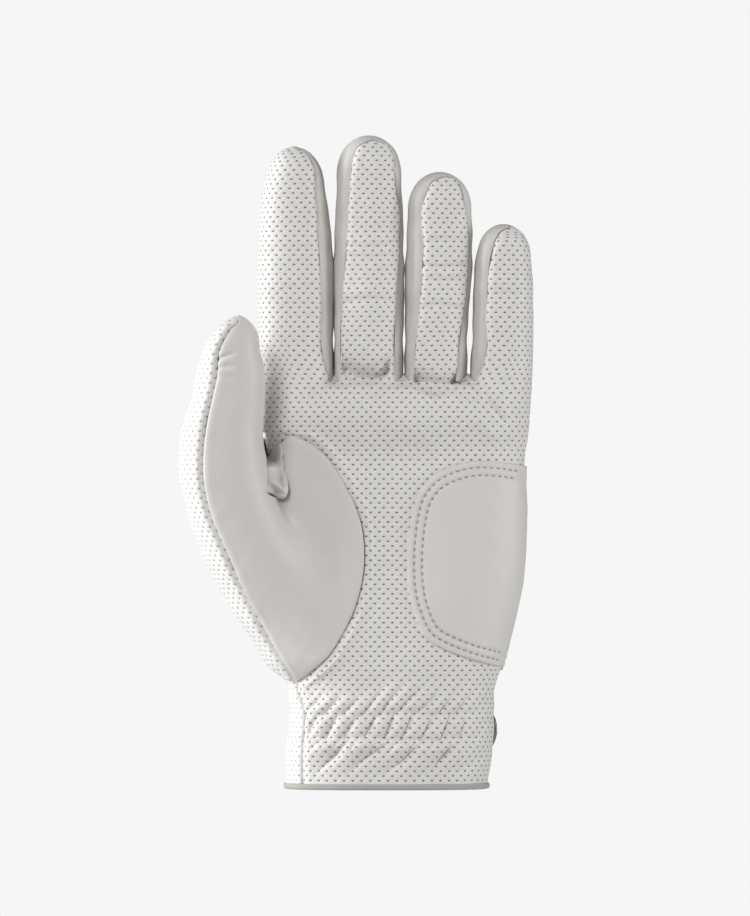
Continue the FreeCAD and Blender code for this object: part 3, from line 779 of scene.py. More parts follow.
def finger_roots(uv, names):
    """Each finger's part of the pattern along a hand sheet's top row."""
    step = STRIP + GAP
    return {name: uv[k * step : k * step + STRIP] for k, name in enumerate(names)}


def strip_sheet(name, back, hand_uv):
    """A finger's palm or back strip up to its tip. hand_uv is the pattern at its root, to carry on from."""
    f = FINGERS[name]
    seam_end = f["tip"] - (0.02 if name in ("index", "little") else 1.4)
    zs = tip_heights(WEB, f["tip"] - TIP_DOME, seam_end, 0.6)
    start, end = finger_rim(name, zs, back)
    angle = start[:, None] + (end - start)[:, None] * np.linspace(0, 1, STRIP)
    cx, cy, a, b = (v[:, None] for v in finger_form(name, zs))
    x, y = section(cx, cy, a, b, angle)
    points = np.stack([x, y, np.broadcast_to(zs[:, None], x.shape)], axis=2)
    centre = STRIP // 2
    arc = across_length(points)
    u0 = hand_uv[centre, 0]
    order = -1 if back else 1
    own = u0 + order * (arc - arc[:, centre : centre + 1])
    w = ease(zs, WEB, WEB + 22)[:, None]
    u = hand_uv[None, :, 0] * (1 - w) + own * w
    v = WEB + along_length(points, centre)
    uv = np.stack([u, np.broadcast_to(v[:, None], u.shape)], axis=2)
    reach_in = np.minimum(arc, arc[:, -1:] - arc)
    return zs, points, uv, reach_in


def side_sheet(name, right):
    """One fourchette: the strip along a finger's side, between its palm seam and its back seam."""
    f = FINGERS[name]
    zs = tip_heights(WEB, f["tip"] - TIP_DOME, f["tip"], 0.6)
    left, right_seam, back_left, back_right = finger_seams(name, zs)
    start, end = (right_seam, back_right) if right else (back_left, left)
    angle = start[:, None] + (end - start)[:, None] * np.linspace(0, 1, 22)
    cx, cy, a, b = (v[:, None] for v in finger_form(name, zs))
    x, y = section(cx, cy, a, b, angle)
    points = np.stack([x, y, np.broadcast_to(zs[:, None], x.shape)], axis=2)
    arc = across_length(points)
    uv = np.stack([arc, np.broadcast_to(zs[:, None], x.shape)], axis=2)
    return zs, points, uv, np.minimum(arc, arc[:, -1:] - arc)


def ride_finger(obj):
    """Bakes a finger piece's placement into its mesh."""
    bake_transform(obj)


SPLIT = {"index": 165.5, "middle": 166.2, "ring": 163.8, "little": 160.6}


def sew_finger(name, label, zs, points, uv, leather, nodes):
    """A finger strip in two pieces, which meet half way between the two joints."""
    cut = int(np.argmin(np.abs(zs - SPLIT[name])))
    for part, first, last in (("low", 0, cut), ("high", cut, len(zs) - 1)):
        obj = sew(f"{name}_{label}_{part}", points, uv, leather, first, last)
        ride_finger(obj)
        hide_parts(nodes + ("_base" if part == "low" else "_tip"))


def corner_edge(z):
    """The D's short top edge, beside the thumb."""
    return -41.7 + (z - 114.4) * 0.98


def palm_seams(x, z):
    """How the palm panel rolls down to the D and to the thumb's seam, and sinks below the D."""
    d, side = near_path(x, z, SEAM_PATH)
    outside = np.where(side > 0, d, 0.0)
    rolled = edge_roll(outside, 1.0, 0.5, 0.3) + 0.35 * np.exp(-(((outside - 2.7) / 0.6) ** 2))
    wrist_seam = np.abs(x - THUMB_SEAM(np.clip(z, 0, 37)))
    rolled = np.where(z < 36, edge_roll(wrist_seam, 0.7), rolled) * (z < 123)
    inside = np.where((side > 0) | (z > 123), 0.0, d) * (1 - ease(corner_edge(z) - x, -1.0, 1.6))
    return rolled - 1.8 * ease(inside, 0.8, 4) * (z > 42)


def make_palm():
    zs, points, uv, _ = hand_sheet(back=False)
    x, z = points[..., 0], points[..., 2]
    points = press(points, palm_swells(x, z) * ease(z, 41, 46))
    points = lift(points, palm_relief(x, z) + palm_seams(x, z))
    top = len(zs) - 3
    obj = sew("palm_panel_leather", points, uv, PALM, 0, top)
    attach(obj, "hand")
    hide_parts("palm_panel")
    for name, hand_uv in finger_roots(uv[top], NAMES).items():
        make_palm_strip(name, hand_uv)


def make_palm_strip(name, hand_uv):
    zs, points, uv, _ = strip_sheet(name, False, hand_uv)
    fade = ease(zs, WEB, WEB + 5)[:, None]
    rise = ease(FINGERS[name]["tip"] - zs, 0, 4)[:, None]
    x, z = points[..., 0], points[..., 2]
    points = press(points, palm_swells(x, z))
    arc = across_length(points)
    to_left, to_right = arc, arc[:, -1:] - arc
    to_seam = {"index": to_right, "little": to_left}.get(name, np.minimum(to_left, to_right))
    amount = palm_relief(x, z) * rise + edge_roll(to_seam, 0.7, 0.8, 0.3) * fade
    if name in ("middle", "ring"):
        amount = amount + edge_roll(zs[-1] - zs, 0.5, 0.6, 0.1)[:, None]
    sew_finger(name, "palm_strip", zs, lift(points, amount), uv, PALM, f"{name}_palm")


def open_slit(obj):
    """Cuts the wrist slit out of the back panel."""
    bm = bmesh.new()
    bm.from_mesh(obj.data)
    middles = [(f, f.calc_center_median() / MM) for f in bm.faces]
    slit = [f for f, at in middles if abs(at.x - SLIT_X) < 2.2 and at.z < SLIT_TOP]
    bmesh.ops.delete(bm, geom=slit, context="FACES")
    bm.to_mesh(obj.data)
    bm.free()


def make_back():
    zs, points, uv, to_edge = hand_sheet(back=True)
    x, z = points[..., 0], points[..., 2]
    relief = 0.3 * waves(x, z, 20, 11) + 0.07 * waves(x, z, 6, 12)
    relief = relief + 0.5 * bump(z, 112, 12) * waves(x, z, 9, 14)
    for knuckle_x in (-31.9, -6.8, 17.2, 39.6):
        relief = relief + 0.9 * bump(x, knuckle_x, 8) * bump(z, 128, 11)
    relief = relief + edge_roll(to_edge, 0.6) * (z > CROTCH)
    top = len(zs) - 3
    obj = sew("back_panel_leather", lift(points, relief), uv, BACK, 0, top)
    open_slit(obj)
    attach(obj, "hand")
    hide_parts("back_panel")
    for name, hand_uv in finger_roots(uv[top], NAMES[::-1]).items():
        make_back_strip(name, hand_uv)


def make_back_strip(name, hand_uv):
    zs, points, uv, to_edge = strip_sheet(name, True, hand_uv)
    fade = ease(zs, WEB, WEB + 5)[:, None]
    rise = ease(FINGERS[name]["tip"] - zs, 0, 5)[:, None]
    amount = 0.2 * waves(points[..., 0], points[..., 2], 15, 21) * rise
    amount = amount + edge_roll(to_edge, 0.5, 0.8, 0.25) * fade * rise
    sew_finger(name, "back_strip", zs, lift(points, amount), uv, BACK, f"{name}_back")


def make_sides():
    for name in NAMES:
        for right in (False, True):
            if (name, right) in (("index", False), ("little", True)):
                continue
            zs, pts, uv, edge = side_sheet(name, right)
            fade = ease(zs, WEB, WEB + 4)[:, None]
            rise = ease(FINGERS[name]["tip"] - zs, 0, 8)[:, None]
            amount = 0.35 * waves(pts[..., 1] * 1.5, pts[..., 2], 14, 31) * rise
            amount = amount + edge_roll(edge, 0.5, 0.8, 0.2) * fade * rise
            pts = lift(pts, amount)
            label = "fourchette_right" if right else "fourchette_left"
            sew_finger(name, label, zs, pts, uv, GUSSET, f"{name}_fourchette")


def make_webs():
    zz = np.array([WEB])
    for before, after in zip(NAMES, NAMES[1:]):
        _, right, _, back_right = finger_seams(before, zz)
        left, _, back_left, _ = finger_seams(after, zz)
        v = np.linspace(0, 1, 24)
        ends = []
        for name, start, end in ((before, right[0], back_right[0]), (after, left[0], back_left[0])):
            cx, cy, a, b = (w[0] for w in finger_form(name, zz))
            ends.append(np.stack(section(cx, cy, a, b, start + (end - start) * v), axis=1))
        u = np.linspace(0, 1, GAP + 2)[None, :, None]
        flat = ends[0][:, None] * (1 - u) + ends[1][:, None] * u
        arch = np.sin(math.pi * u[..., 0]) * np.ones((24, 1))
        flat[..., 1] += 1.8 * arch * (1 - 2 * v[:, None])
        z = WEB + 3.0 * arch * np.sin(math.pi * v[:, None]) ** 0.5
        points = np.concatenate([flat, z[..., None]], axis=2)
        uv = flat.copy()
        obj = sew(f"{before}_{after}_gusset", points, uv, GUSSET)
        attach(obj, "hand")
        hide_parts(f"{before}_{after}_web")


# ---------------------------------------------------------------- thumb

THUMB_REAR = math.pi / 2 + 0.5  # where the smooth leather ends behind the thumb's inner side
THUMB_SPLIT = 137.0
THUMB_FOOT = 150.0
THUMB_CX = smooth([(113, -57.25), (121, -57.6), (136, -55.1), (146, -54.2), (152, -54.1), (158.7, -52.6),
                   (163.4, -51.8)])


def thumb_form(z):
    share = np.clip((z - THUMB_FOOT) / (THUMB_TIP - THUMB_FOOT), 0, 1)
    close = np.maximum(1 - share**1.75, 0) ** 0.6
    a = (THUMB_RIGHT(z) - THUMB_LEFT(z)) / 2 * close
    return THUMB_CX(z), THUMB_CENTRE(z), a, THUMB_DEPTH(z) * np.maximum(1 - share**2.2, 0) ** 0.5


def bend_thumb(obj, part):
    if part == "low":
        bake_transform(obj)
    else:
        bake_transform(obj)


def thumb_rings(front):
    """Smooth leather round the front and inner side of the thumb, or pierced leather round its back."""
    zs = tip_heights(CROTCH, THUMB_FOOT, THUMB_TIP, 0.55)
    cx, cy, a, b = thumb_form(zs)
    seam = angle_at(THUMB_SEAM(zs), cx, a)
    closing = ease(zs, 158.5, THUMB_TIP)
    seam = seam * (1 - closing) + 0.2 * closing
    rear = np.full_like(zs, THUMB_REAR)
    start, end = (seam, rear) if front else (rear, 2 * math.pi + seam)
    angle = start[:, None] + (end - start)[:, None] * np.linspace(0, 1, 80)
    x, y = section(cx[:, None], cy[:, None], a[:, None], b[:, None], angle)
    return zs, np.stack([x, y, np.broadcast_to(zs[:, None], x.shape)], axis=2)


def outline_rows(zs, ends, columns, with_thumb=True):
    """A grid on the hand's outline: at each height it runs between the two places that ends gives."""
    rows = []
    for z in zs:
        ring = Outline(z, with_thumb)
        x, y = ring.points(np.linspace(*ends(ring, z), columns))
        rows.append(np.stack([x, y, np.full(columns, z)], axis=1))
    return np.array(rows)


def sew_thumb(label, zs, points, uv, leather, nodes):
    """A thumb sheet in two pieces, which meet half way between the two joints."""
    cut = int(np.argmin(np.abs(zs - THUMB_SPLIT)))
    for part, first, last in (("low", 0, cut), ("high", cut, len(zs) - 1)):
        obj = sew(f"{label}_{part}", points, uv, leather, first, last)
        bend_thumb(obj, part)
        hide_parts(nodes + ("_base" if part == "low" else "_tip"))


def make_thumb_back():
    """The pierced side and back of the thumb, from the hem to the tip."""
    low = heights(HEM, CROTCH, 0.6)
    ends = lambda ring, z: (ring.rear_at_x(REAR_SEAM(z)), ring.at_x(THUMB_SEAM(z)))
    zs_high, high = thumb_rings(front=False)
    points = np.concatenate([outline_rows(low, ends, 80), high[1:]])
    zs = np.concatenate([low, zs_high[1:]])
    arc = across_length(points)
    uv = np.stack([arc - arc[:, -1:], points[..., 2]], axis=2)
    rise = ease(THUMB_TIP - zs, 0, 4)[:, None]
    x, y, z = points[..., 0], points[..., 1], points[..., 2]
    amount = (0.25 * waves(y, z, 17, 41) + 0.08 * waves(y, z, 6, 42)) * rise
    amount = amount + edge_roll(arc[:, -1:] - arc, 1.2, 0.55, 0.3) * rise
    amount = amount + 0.5 * waves(x, z, 9, 45) * bump(z, 24, 12)
    sew_thumb("thumb_back_leather", zs, lift(points, amount), uv, BACK, "thumb_back")


def make_thumb_panel():
    """The smooth panel: over the thumb and into the palm as a D."""
    ends = lambda ring, z: (ring.at_x(THUMB_SEAM(z)), ring.at_x(PALM_SEAM(z)))
    points = outline_rows(heights(37.4, CROTCH, 0.5), ends, 170)
    arc = across_length(points)
    uv = np.stack([arc, points[..., 2]], axis=2)
    x, z = points[..., 0], points[..., 2]
    d, _ = near_path(x, z, SEAM_PATH)
    amount = 0.3 + thumb_relief(x, z) + edge_roll(d, 1.2, 0.42, 0.1) + edge_roll(arc, 1.6, 0.5, 0.2)
    obj = sew("thumb_panel_leather", lift(points, amount - under_tuck(x, z)), uv, LEATHER)
    bend_thumb(obj, "low")
    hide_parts("thumb_panel")


def make_thumb_corner():
    """The D's top corner, on the hand's side of the crotch."""

    def ends(ring, z):
        side = ring.left_at_y(3.0)
        low = side + (ring.at_x(corner_edge(max(z, 114.4))) - side) * float(ease(z, CROTCH, 115.4))
        return low, max(ring.at_x(PALM_SEAM(z)), low + 0.05)

    points = outline_rows(heights(CROTCH, 122.4, 0.45), ends, 90, with_thumb=False)
    x, z = points[..., 0], points[..., 2]
    d, _ = near_path(x, z, SEAM_PATH)
    amount = 0.3 + thumb_relief(x, z) + edge_roll(d, 1.2, 0.42, 0.1) - under_tuck(x, z)
    uv = np.stack([across_length(points), z], axis=2)
    obj = sew("thumb_panel_corner", lift(points, amount), uv, LEATHER)
    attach(obj, "hand")


def make_thumb_front():
    """The smooth leather of the thumb itself."""
    zs, points = thumb_rings(front=True)
    arc = across_length(points)
    x, z = points[..., 0], points[..., 2]
    rise = ease(THUMB_TIP - zs, 0, 4)[:, None]
    amount = 0.3 + thumb_relief(x, z) * rise + edge_roll(arc, 1.6, 0.5, 0.2) * rise
    uv = np.stack([arc, z], axis=2)
    sew_thumb("thumb_front_leather", zs, lift(points, amount), uv, LEATHER, "thumb_palm")


def make_quirk():
    """The small gusset that joins palm and back where the thumb leaves the hand."""

    def ends(ring, z):
        rear, front = ring.left_at_y(10.5), ring.at_x(-42.2)
        reach_out = (front - rear) / 2 * math.sqrt(1 - ((z - 112.8) / 8.8) ** 2)
        return (rear + front) / 2 - reach_out, (rear + front) / 2 + reach_out

    zs = heights(107, 121.5, 0.5)
    points = outline_rows(zs, ends, 50, with_thumb=False)
    y, z = points[..., 1], points[..., 2]
    across = np.abs(np.linspace(-1, 1, 50))[None, :]
    amount = 1.5 - 0.9 * ease(across, 0.8, 1) - 0.9 * ease(z, 119.5, 121.5) + 0.1 * waves(y, z, 7, 81)
    uv = np.stack([across_length(points), z], axis=2)
    obj = sew("thumb_quirk_gusset", lift(points, amount), uv, GUSSET)
    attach(obj, "hand")


def palm_depth(x, z):
    """Depth of the plain palm at each place."""
    a = (HAND_RIGHT(z) - HAND_LEFT(z)) / 2
    share = np.clip(np.abs(x - (HAND_RIGHT(z) + HAND_LEFT(z)) / 2) / a, 0, 0.995)
    return HAND_CENTRE(z) - HAND_DEPTH(z) * (1 - share**HAND_POWER) ** (1 / HAND_POWER)


def make_tuck():
    """The small pocket of folded leather between the thumb and the hand."""
    right = resampled(rounded(FOLD, 2), 90)
    left = resampled(FOLD_EDGE, 90)
    u = np.linspace(0, 1, 60)[None, :, None]
    flat = left[:, None] * (1 - u) + right[:, None] * u
    x, z = flat[..., 0], flat[..., 1]
    d, _ = near_path(x, z, [tuple(p) for p in right[::3]])
    t, _ = near_path(x, z, TUCK)
    sunk = 0.9 * ease(d, 1.0, 2.6) - 0.8 * np.exp(-(((d - 0.7) / 0.6) ** 2)) + 0.1
    fold = 0.8 * np.exp(-((t / 0.8) ** 2)) - 0.6 * np.exp(-(((t - 2.0) / 0.9) ** 2))
    to_thumb = ease(z, 111, 115)
    depth_left = -17.2 * (1 - to_thumb) + palm_depth(np.maximum(x[:, :1], -41.2), z[:, :1]) * to_thumb
    w = ease(u[..., 0], 0, 1) * np.ones_like(x)
    foot = 1.6 * (1 - ease(z, 103, 108))
    depth_right = palm_depth(x[:, -1:], z[:, -1:]) - foot
    creased = sunk - fold * ease(d, 0.5, 2.0) + 0.12 * waves(x, z, 5, 51)
    y = depth_left * (1 - w) + depth_right * w - 0.3 + creased
    points = np.stack([x, y, z], axis=2)
    obj = sew("thumb_crotch_tuck", points, np.stack([x, z], axis=2), LEATHER, thick=0.6)
    bend_thumb(obj, "low")


# ---------------------------------------------------------------- heel patch and its stitching


def hand_table():
    """The right half of the hand's palm side as a table: from the middle of the palm round to the back."""
    zs = np.arange(36.0, 120.1, 0.75)
    share = np.linspace(0, 1, 181)
    table = np.zeros((len(zs), len(share), 2))
    for i, z in enumerate(zs):
        ring = Outline(z, with_thumb=False)
        s = ring.at_x(0.0) + (ring.right_at_y(5.0) - ring.at_x(0.0)) * share
        table[i] = np.stack(ring.points(s), axis=1)
    return zs, share, table


TABLE_Z, TABLE_SHARE, TABLE = hand_table()


def on_hand(share, z):
    """Points of the plain hand at a share of the way round its right half."""
    i = np.clip((z - TABLE_Z[0]) / (TABLE_Z[1] - TABLE_Z[0]), 0, len(TABLE_Z) - 1.001)
    j = np.clip(share * (len(TABLE_SHARE) - 1), 0, len(TABLE_SHARE) - 1.001)
    i0, j0 = i.astype(int), j.astype(int)
    fi, fj = (i - i0)[..., None], (j - j0)[..., None]
    low = TABLE[i0, j0] * (1 - fj) + TABLE[i0, j0 + 1] * fj
    high = TABLE[i0 + 1, j0] * (1 - fj) + TABLE[i0 + 1, j0 + 1] * fj
    xy = low * (1 - fi) + high * fi
    return np.concatenate([xy, z[..., None]], axis=-1)


def share_at(x, z):
    """The share round the hand's right half at which the palm side reaches x."""
    rows = np.clip(np.round((z - TABLE_Z[0]) / (TABLE_Z[1] - TABLE_Z[0])).astype(int), 0, len(TABLE_Z) - 1)
    out = np.zeros(len(x))
    for k, (xx, row) in enumerate(zip(x, rows)):
        xs = TABLE[row, :, 0]
        top = int(np.argmax(xs))
        out[k] = np.interp(xx, np.maximum.accumulate(xs[: top + 1]), TABLE_SHARE[: top + 1])
    return out


PATCH_RISE = 0.95  # the patch's outer face above the palm leather's
PATCH_FOOT = [(40.0, 42.1), (33, 43.7), (26, 45.9), (19.5, 48.6), (15.4, 50.8)]
PATCH_SIDE = [(15.4, 50.8), (12.6, 53.2), (10.6, 57), (9.0, 61.5), (7.6, 66), (6.8, 73), (6.7, 80), (7.2, 88),
              (8.5, 96.6), (10.0, 101.4), (12.6, 105.3), (16.0, 108.7)]
PATCH_TOP = [(16.0, 108.7), (21.4, 111.4), (26.5, 112.9), (31.7, 113.5), (38, 113.2), (46.4, 111.9)]
PATCH_EDGE = resampled(rounded(PATCH_FOOT + PATCH_SIDE[1:] + PATCH_TOP[1:]), 260)


def shifted(path, inset):
    """The same path moved to its right-hand side, as it runs."""
    step = np.gradient(path, axis=0)
    step /= np.linalg.norm(step, axis=1, keepdims=True)
    return path + np.stack([step[:, 1], -step[:, 0]], axis=1) * inset


STITCH_LINES = [shifted(PATCH_EDGE, 2.2), shifted(PATCH_EDGE, 4.9)]


def patch_sheet():
    """The heel patch as a grid between its foot, its side, its top and the outer edge of the hand."""
    cols, rows = 120, 150
    ends = []
    for path in (PATCH_FOOT, PATCH_SIDE, PATCH_TOP):
        pts = rounded(path)
        ends.append(np.stack([share_at(pts[:, 0], pts[:, 1]), pts[:, 1]], axis=1))
    foot, side, top = ends
    foot = np.concatenate([[[1.0, foot[0, 1] - 1.0]], foot])[::-1]
    top = np.concatenate([top, [[1.0, top[-1, 1] - 1.2]]])
    scale = np.array([70.0, 1.0])
    foot, side, top = (resampled(p * scale, n) / scale for p, n in ((foot, cols), (side, rows), (top, cols)))
    right = np.stack([np.ones(rows), np.linspace(foot[-1, 1], top[-1, 1], rows)], axis=1)
    u = np.linspace(0, 1, cols)[None, :, None]
    v = np.linspace(0, 1, rows)[:, None, None]
    grid = side[:, None] * (1 - u) + right[:, None] * u + foot[None] * (1 - v) + top[None] * v
    low_corners = foot[0] * (1 - u) + foot[-1] * u
    high_corners = top[0] * (1 - u) + top[-1] * u
    grid = grid - (low_corners * (1 - v) + high_corners * v)
    return on_hand(grid[..., 0], grid[..., 1])


def bordered(points, amount, drop):
    """The grid with one more row or column at each side, lowered by drop: a thick panel's cut edge."""
    lifted = lift(points, amount)
    low = lift(points, amount - drop)
    grown = np.zeros((lifted.shape[0] + 2, lifted.shape[1] + 2, 3))
    grown[1:-1, 1:-1] = lifted
    grown[0, 1:-1], grown[-1, 1:-1] = low[0], low[-1]
    grown[1:-1, 0], grown[1:-1, -1] = low[:, 0], low[:, -1]
    grown[0, 0], grown[0, -1], grown[-1, 0], grown[-1, -1] = low[0, 0], low[0, -1], low[-1, 0], low[-1, -1]
    return grown


def at_length(path, s, place):
    """The point of a path, or the value along it, at one of its lengths s."""
    return np.array([np.interp(place, s, path[:, k]) for k in range(3)])


def stitch_row(name, places, ups, pitch, length, radius, thread, body, stands_for=()):
    """Separate stitches along a line of places, each a short rounded bar that dips in at its ends."""
    s = along_length(places[:, None], 0)
    bm = bmesh.new()
    for k in range(int(s[-1] / pitch)):
        middle = (k + 0.5) * pitch
        start, end = (at_length(places, s, middle + part * length) for part in (-0.5, 0.5))
        along = Vector(end - start)
        if along.length < 1e-6:
            continue
        along.normalize()
        up = Vector(at_length(ups, s, middle)).normalized()
        side = along.cross(up).normalized()
        up = side.cross(along).normalized()
        turn = Matrix((along, side, up)).transposed().to_4x4()
        centre = Vector((start + end) / 2) + up * radius * 0.3
        made = bmesh.ops.create_uvsphere(bm, u_segments=8, v_segments=6, radius=1.0)["verts"]
        for v in made:
            x, y, z = v.co.z, v.co.y, v.co.x
            v.co = Vector((x * length / 2, y * radius, z * radius - 0.35 * radius * x * x))
        bmesh.ops.transform(bm, matrix=Matrix.Translation(centre) @ turn, verts=made)
    bmesh.ops.recalc_face_normals(bm, faces=bm.faces)
    for v in bm.verts:
        v.co *= MM
    mesh = bpy.data.meshes.new(name)
    for face in bm.faces:
        face.smooth = True
    bm.to_mesh(mesh)
    bm.free()
    mesh.materials.append(thread)
    obj = bpy.data.objects.new(name, mesh)
    bpy.context.scene.collection.objects.link(obj)
    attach(obj, body)
    if stands_for:
        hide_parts(*stands_for)
    return obj


def make_heel_patch():
    points = patch_sheet()
    x, z = points[..., 0], points[..., 2]
    points = press(points, palm_swells(x, z))
    amount = palm_relief(x, z) + PATCH_RISE + 0.12 * waves(x, z, 26, 61)
    for line in STITCH_LINES:
        d, _ = near_path(x, z, [tuple(p) for p in line[::6]])
        amount = amount - 0.32 * np.exp(-((d / 0.55) ** 2))
    d, _ = near_path(x, z, [tuple(p) for p in PATCH_EDGE[::4]])
    amount = amount - 0.3 * np.exp(-((d / 0.7) ** 2))
    grown = bordered(points, amount, 1.1)
    arc = across_length(grown)
    uv = np.stack([arc, grown[..., 2]], axis=2)
    obj = sew("heel_patch_leather", grown, uv, PATCH, thick=0)
    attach(obj, "hand")
    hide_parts("heel_patch")
    for label, line in zip(("outer", "inner"), STITCH_LINES):
        make_patch_stitches(label, line[line[:, 0] < HAND_RIGHT(line[:, 1]) - 2.0])


def make_patch_stitches(label, line):
    share = share_at(line[:, 0], line[:, 1])
    base = on_hand(share, line[:, 1])
    ahead = on_hand(share + 0.004, line[:, 1])
    above = on_hand(share, line[:, 1] + 0.3)
    up = np.cross(ahead - base, above - base)
    up /= np.linalg.norm(up, axis=1, keepdims=True)
    base[:, 1] -= palm_swells(base[:, 0], base[:, 2]) * ease(-up[:, 1], 0, 0.9)
    lifted = base + up * (palm_relief(base[:, 0], base[:, 2]) + PATCH_RISE - 0.24)[:, None]
    name = f"heel_patch_stitches_{label}"
    stitch_row(f"{name}_thread", lifted, up, 2.4, 1.45, 0.3, SHADED_THREAD, "hand", (name,))


# ---------------------------------------------------------------- hem, closure and ball marker

def make_binding():
    """The tape folded over the hem, open at the slit."""
    ring = Outline(HEM)
    start = ring.rear_at_x(SLIT_X) + 1.6
    s = np.linspace(start, ring.length + ring.rear_at_x(SLIT_X) - 1.6, 420)
    x, y = ring.points(s % ring.length)
    out = np.stack([np.gradient(y), -np.gradient(x)], axis=1)
    out /= np.linalg.norm(out, axis=1, keepdims=True)
    middle = np.array([float(x.mean()), float(y.mean())])
    if ((np.stack([x, y], axis=1) - middle) * out).sum() < 0:
        out = -out
    profile = [(0.0, 2.15), (0.4, 2.05), (0.6, 1.7), (0.7, 1.2), (0.65, 0.7), (0.45, 0.3), (0.0, 0.05),
               (-0.8, 0.0), (-1.3, 0.3), (-1.5, 0.9), (-1.5, 1.6), (-1.4, 2.0), (-1.1, 2.1)]
    profile = resampled(rounded(profile, 2), 34)
    wave = 0.12 * waves(s, s * 0, 9, 71)
    points = np.zeros((len(profile), len(s), 3))
    for i, (offset, z) in enumerate(profile):
        points[i, :, 0] = x + out[:, 0] * (offset + wave)
        points[i, :, 1] = y + out[:, 1] * (offset + wave)
        points[i, :, 2] = z
    uv = np.stack([np.broadcast_to(s, points.shape[:2]), points[..., 2]], axis=2)
    obj = sew("hem_binding_tape", points, uv, TAPE, thick=0)
    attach(obj, "hand")
    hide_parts("cuff_binding")


def remake(name, label, finish_used, body, bevel=0.25, pull=1.0):
    """A copy of a CAD node with its corners softened, in the same place."""
    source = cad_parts[name]
    bm = bmesh.new()
    bm.from_mesh(source.data)
    bmesh.ops.remove_doubles(bm, verts=bm.verts, dist=2e-6)
    for v in bm.verts:
        v.co.x *= pull
        v.co.y = 0.001 + (v.co.y - 0.001) * pull
    bmesh.ops.dissolve_limit(bm, angle_limit=math.radians(0.5), verts=bm.verts, edges=bm.edges)
    sharp = [e for e in bm.edges if len(e.link_faces) == 2 and e.calc_face_angle() > math.radians(40)]
    if bevel:
        bmesh.ops.bevel(bm, geom=sharp, offset=bevel * MM, offset_type="OFFSET", segments=3, profile=0.5,
                        affect="EDGES", material=-1, clamp_overlap=True)
    for face in bm.faces:
        face.smooth = True
    mesh = bpy.data.meshes.new(label)
    bm.to_mesh(mesh)
    bm.free()
    mesh.set_sharp_from_angle(angle=math.radians(35))
    mesh.materials.append(finish_used)
    obj = bpy.data.objects.new(label, mesh)
    bpy.context.scene.collection.objects.link(obj)
    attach(obj, body)
    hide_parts(name)
    return obj


def make_closure():
    remake("slit_binding", "slit_binding_tape", TAPE, "hand", 0.2)
    for which in ("upper", "lower"):
        elastic = f"wrist_elastic_{which}"
        remake(elastic, f"{elastic}_band", ELASTIC, "hand", 0.15, 0.93)
    remake("loop_pad", "loop_pad_pile", LOOP, "hand", 0.2)
    remake("tab_anchor", "tab_anchor_leather", TAB, "hand", 0.4)
    remake("closure_tab", "closure_tab_leather", TAB, "closure", 0.3)
    remake("hook_pad", "hook_pad_tape", HOOK, "closure", 0.15)
    remake("marker_holder", "marker_holder_moulding", MOULDING, "closure", 0.4)
    remake("holder_magnet", "holder_magnet_disc", STEEL, "closure", 0.2)
    remake("ball_marker", "ball_marker_disc", CHROME, "ball_marker", 0.12)
    remake("marker_face", "marker_face_enamel", ENAMEL, "ball_marker", 0.08)


STITCH_INSET = 1.9
TAB_RISE = 3.2  # the tab's outer face above the hand's form


def make_tab_stitches():
    """The row of stitches round the closure tab, set in from its edge and round its free end."""
    start, end = -18.5, 36.6 - STITCH_INSET
    low, high = 7.0 + STITCH_INSET, 33.0 - STITCH_INSET
    radius = 0.4 * 26.0 - STITCH_INSET
    path = [(start, low), (end - radius, low)]
    for centre_z, from_turn in ((low + radius, -math.pi / 2), (high - radius, 0.0)):
        for turn in from_turn + np.arange(0, 8) / 8 * math.pi / 2:
            path.append((end - radius + radius * math.cos(turn), centre_z + radius * math.sin(turn)))
    path += [(end - radius, high), (start, high), (start, low)]
    x, z = resampled(path, 300).T
    left, right = HAND_LEFT(z), HAND_RIGHT(z)
    a, b = (right - left) / 2 + TAB_RISE, HAND_DEPTH(z) + TAB_RISE
    share = np.clip(np.abs((x - (left + right) / 2) / a), 0, 0.999)
    y = HAND_CENTRE(z) + b * (1 - share**HAND_POWER) ** (1 / HAND_POWER)
    up = np.stack([np.sign(x) * share**1.5 / a, (1 - share**HAND_POWER) ** 0.6 / b, 0 * x], axis=1)
    up /= np.linalg.norm(up, axis=1, keepdims=True)
    places = np.stack([x, y, z], axis=1)
    stitch_row("closure_tab_stitches", places, up, 2.7, 1.6, 0.3, SHADED_THREAD, "closure")


make_palm()
make_back()
make_sides()
make_webs()
make_thumb_back()
make_thumb_panel()
make_thumb_corner()
make_thumb_front()
make_tuck()
make_quirk()
make_heel_patch()
make_binding()
make_closure()
make_tab_stitches()

# ---------------------------------------------------------------- floor, light and camera


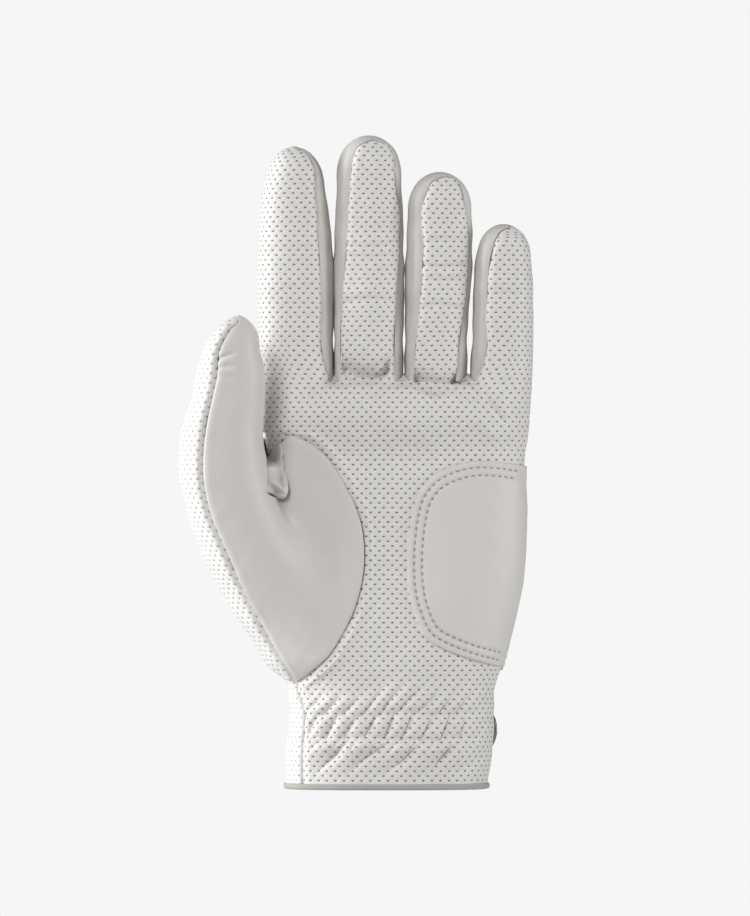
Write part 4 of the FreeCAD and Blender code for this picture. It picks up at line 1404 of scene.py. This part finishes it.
def area_light(name, place, target, size, power):
    data = bpy.data.lights.new(name, "AREA")
    data.shape = "RECTANGLE"
    data.size, data.size_y = size
    data.energy = power
    lamp = bpy.data.objects.new(name, data)
    bpy.context.scene.collection.objects.link(lamp)
    lamp.location = place
    lamp.rotation_euler = (Vector(target) - Vector(place)).to_track_quat("-Z", "Y").to_euler()
    return lamp


def make_floor():
    bm = bmesh.new()
    bmesh.ops.create_circle(bm, cap_ends=True, segments=96, radius=1.1)
    mesh = bpy.data.meshes.new("floor")
    bm.to_mesh(mesh)
    bm.free()
    floor = bpy.data.objects.new("floor", mesh)
    bpy.context.scene.collection.objects.link(floor)
    floor.location = (0, 0, -0.16)
    mesh.materials.append(plain("pale floor", "EDEDED", 0.9))
    floor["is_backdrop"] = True


def make_world(seen, cast):
    """A plain white surround, as bright as it is seen, that lights the glove less than it shows."""
    world = bpy.data.worlds.new("white surround")
    bpy.context.scene.world = world
    world.use_nodes = True
    tree = world.node_tree
    tree.nodes.clear()
    path = node(tree, "ShaderNodeLightPath")
    shown = node(tree, "ShaderNodeBackground", {"Color": (1, 1, 1, 1), "Strength": seen})
    lighting = node(tree, "ShaderNodeBackground", {"Color": (1, 1, 1, 1), "Strength": cast})
    to_camera = path.outputs["Is Camera Ray"]
    both = node(tree, "ShaderNodeMixShader", links={"0": to_camera, "1": lighting, "2": shown})
    node(tree, "ShaderNodeOutputWorld", links={"Surface": both})


def make_camera():
    data = bpy.data.cameras.new("camera")
    data.lens = 400
    data.sensor_width = 36
    camera = bpy.data.objects.new("camera", data)
    bpy.context.scene.collection.objects.link(camera)
    camera.location = (-0.0045, -3.525, 0.1145)
    camera.rotation_euler = (math.pi / 2, 0, 0)
    bpy.context.scene.camera = camera


make_floor()
make_world(0.922, 0.17)
area_light("key", (-0.9, -1.4, 1.4), (0, 0, 0.11), (0.7, 0.7), 21)
area_light("left bank", (-1.7, -0.05, 0.3), (0, 0, 0.11), (0.9, 1.2), 26)
area_light("right bank", (1.6, -0.5, 0.1), (0, 0, 0.11), (0.8, 1.2), 15)
make_camera()
bpy.context.scene.view_settings.view_transform = "Standard"
bpy.context.scene.view_settings.look = "None"

save_size("visual", SIZES)
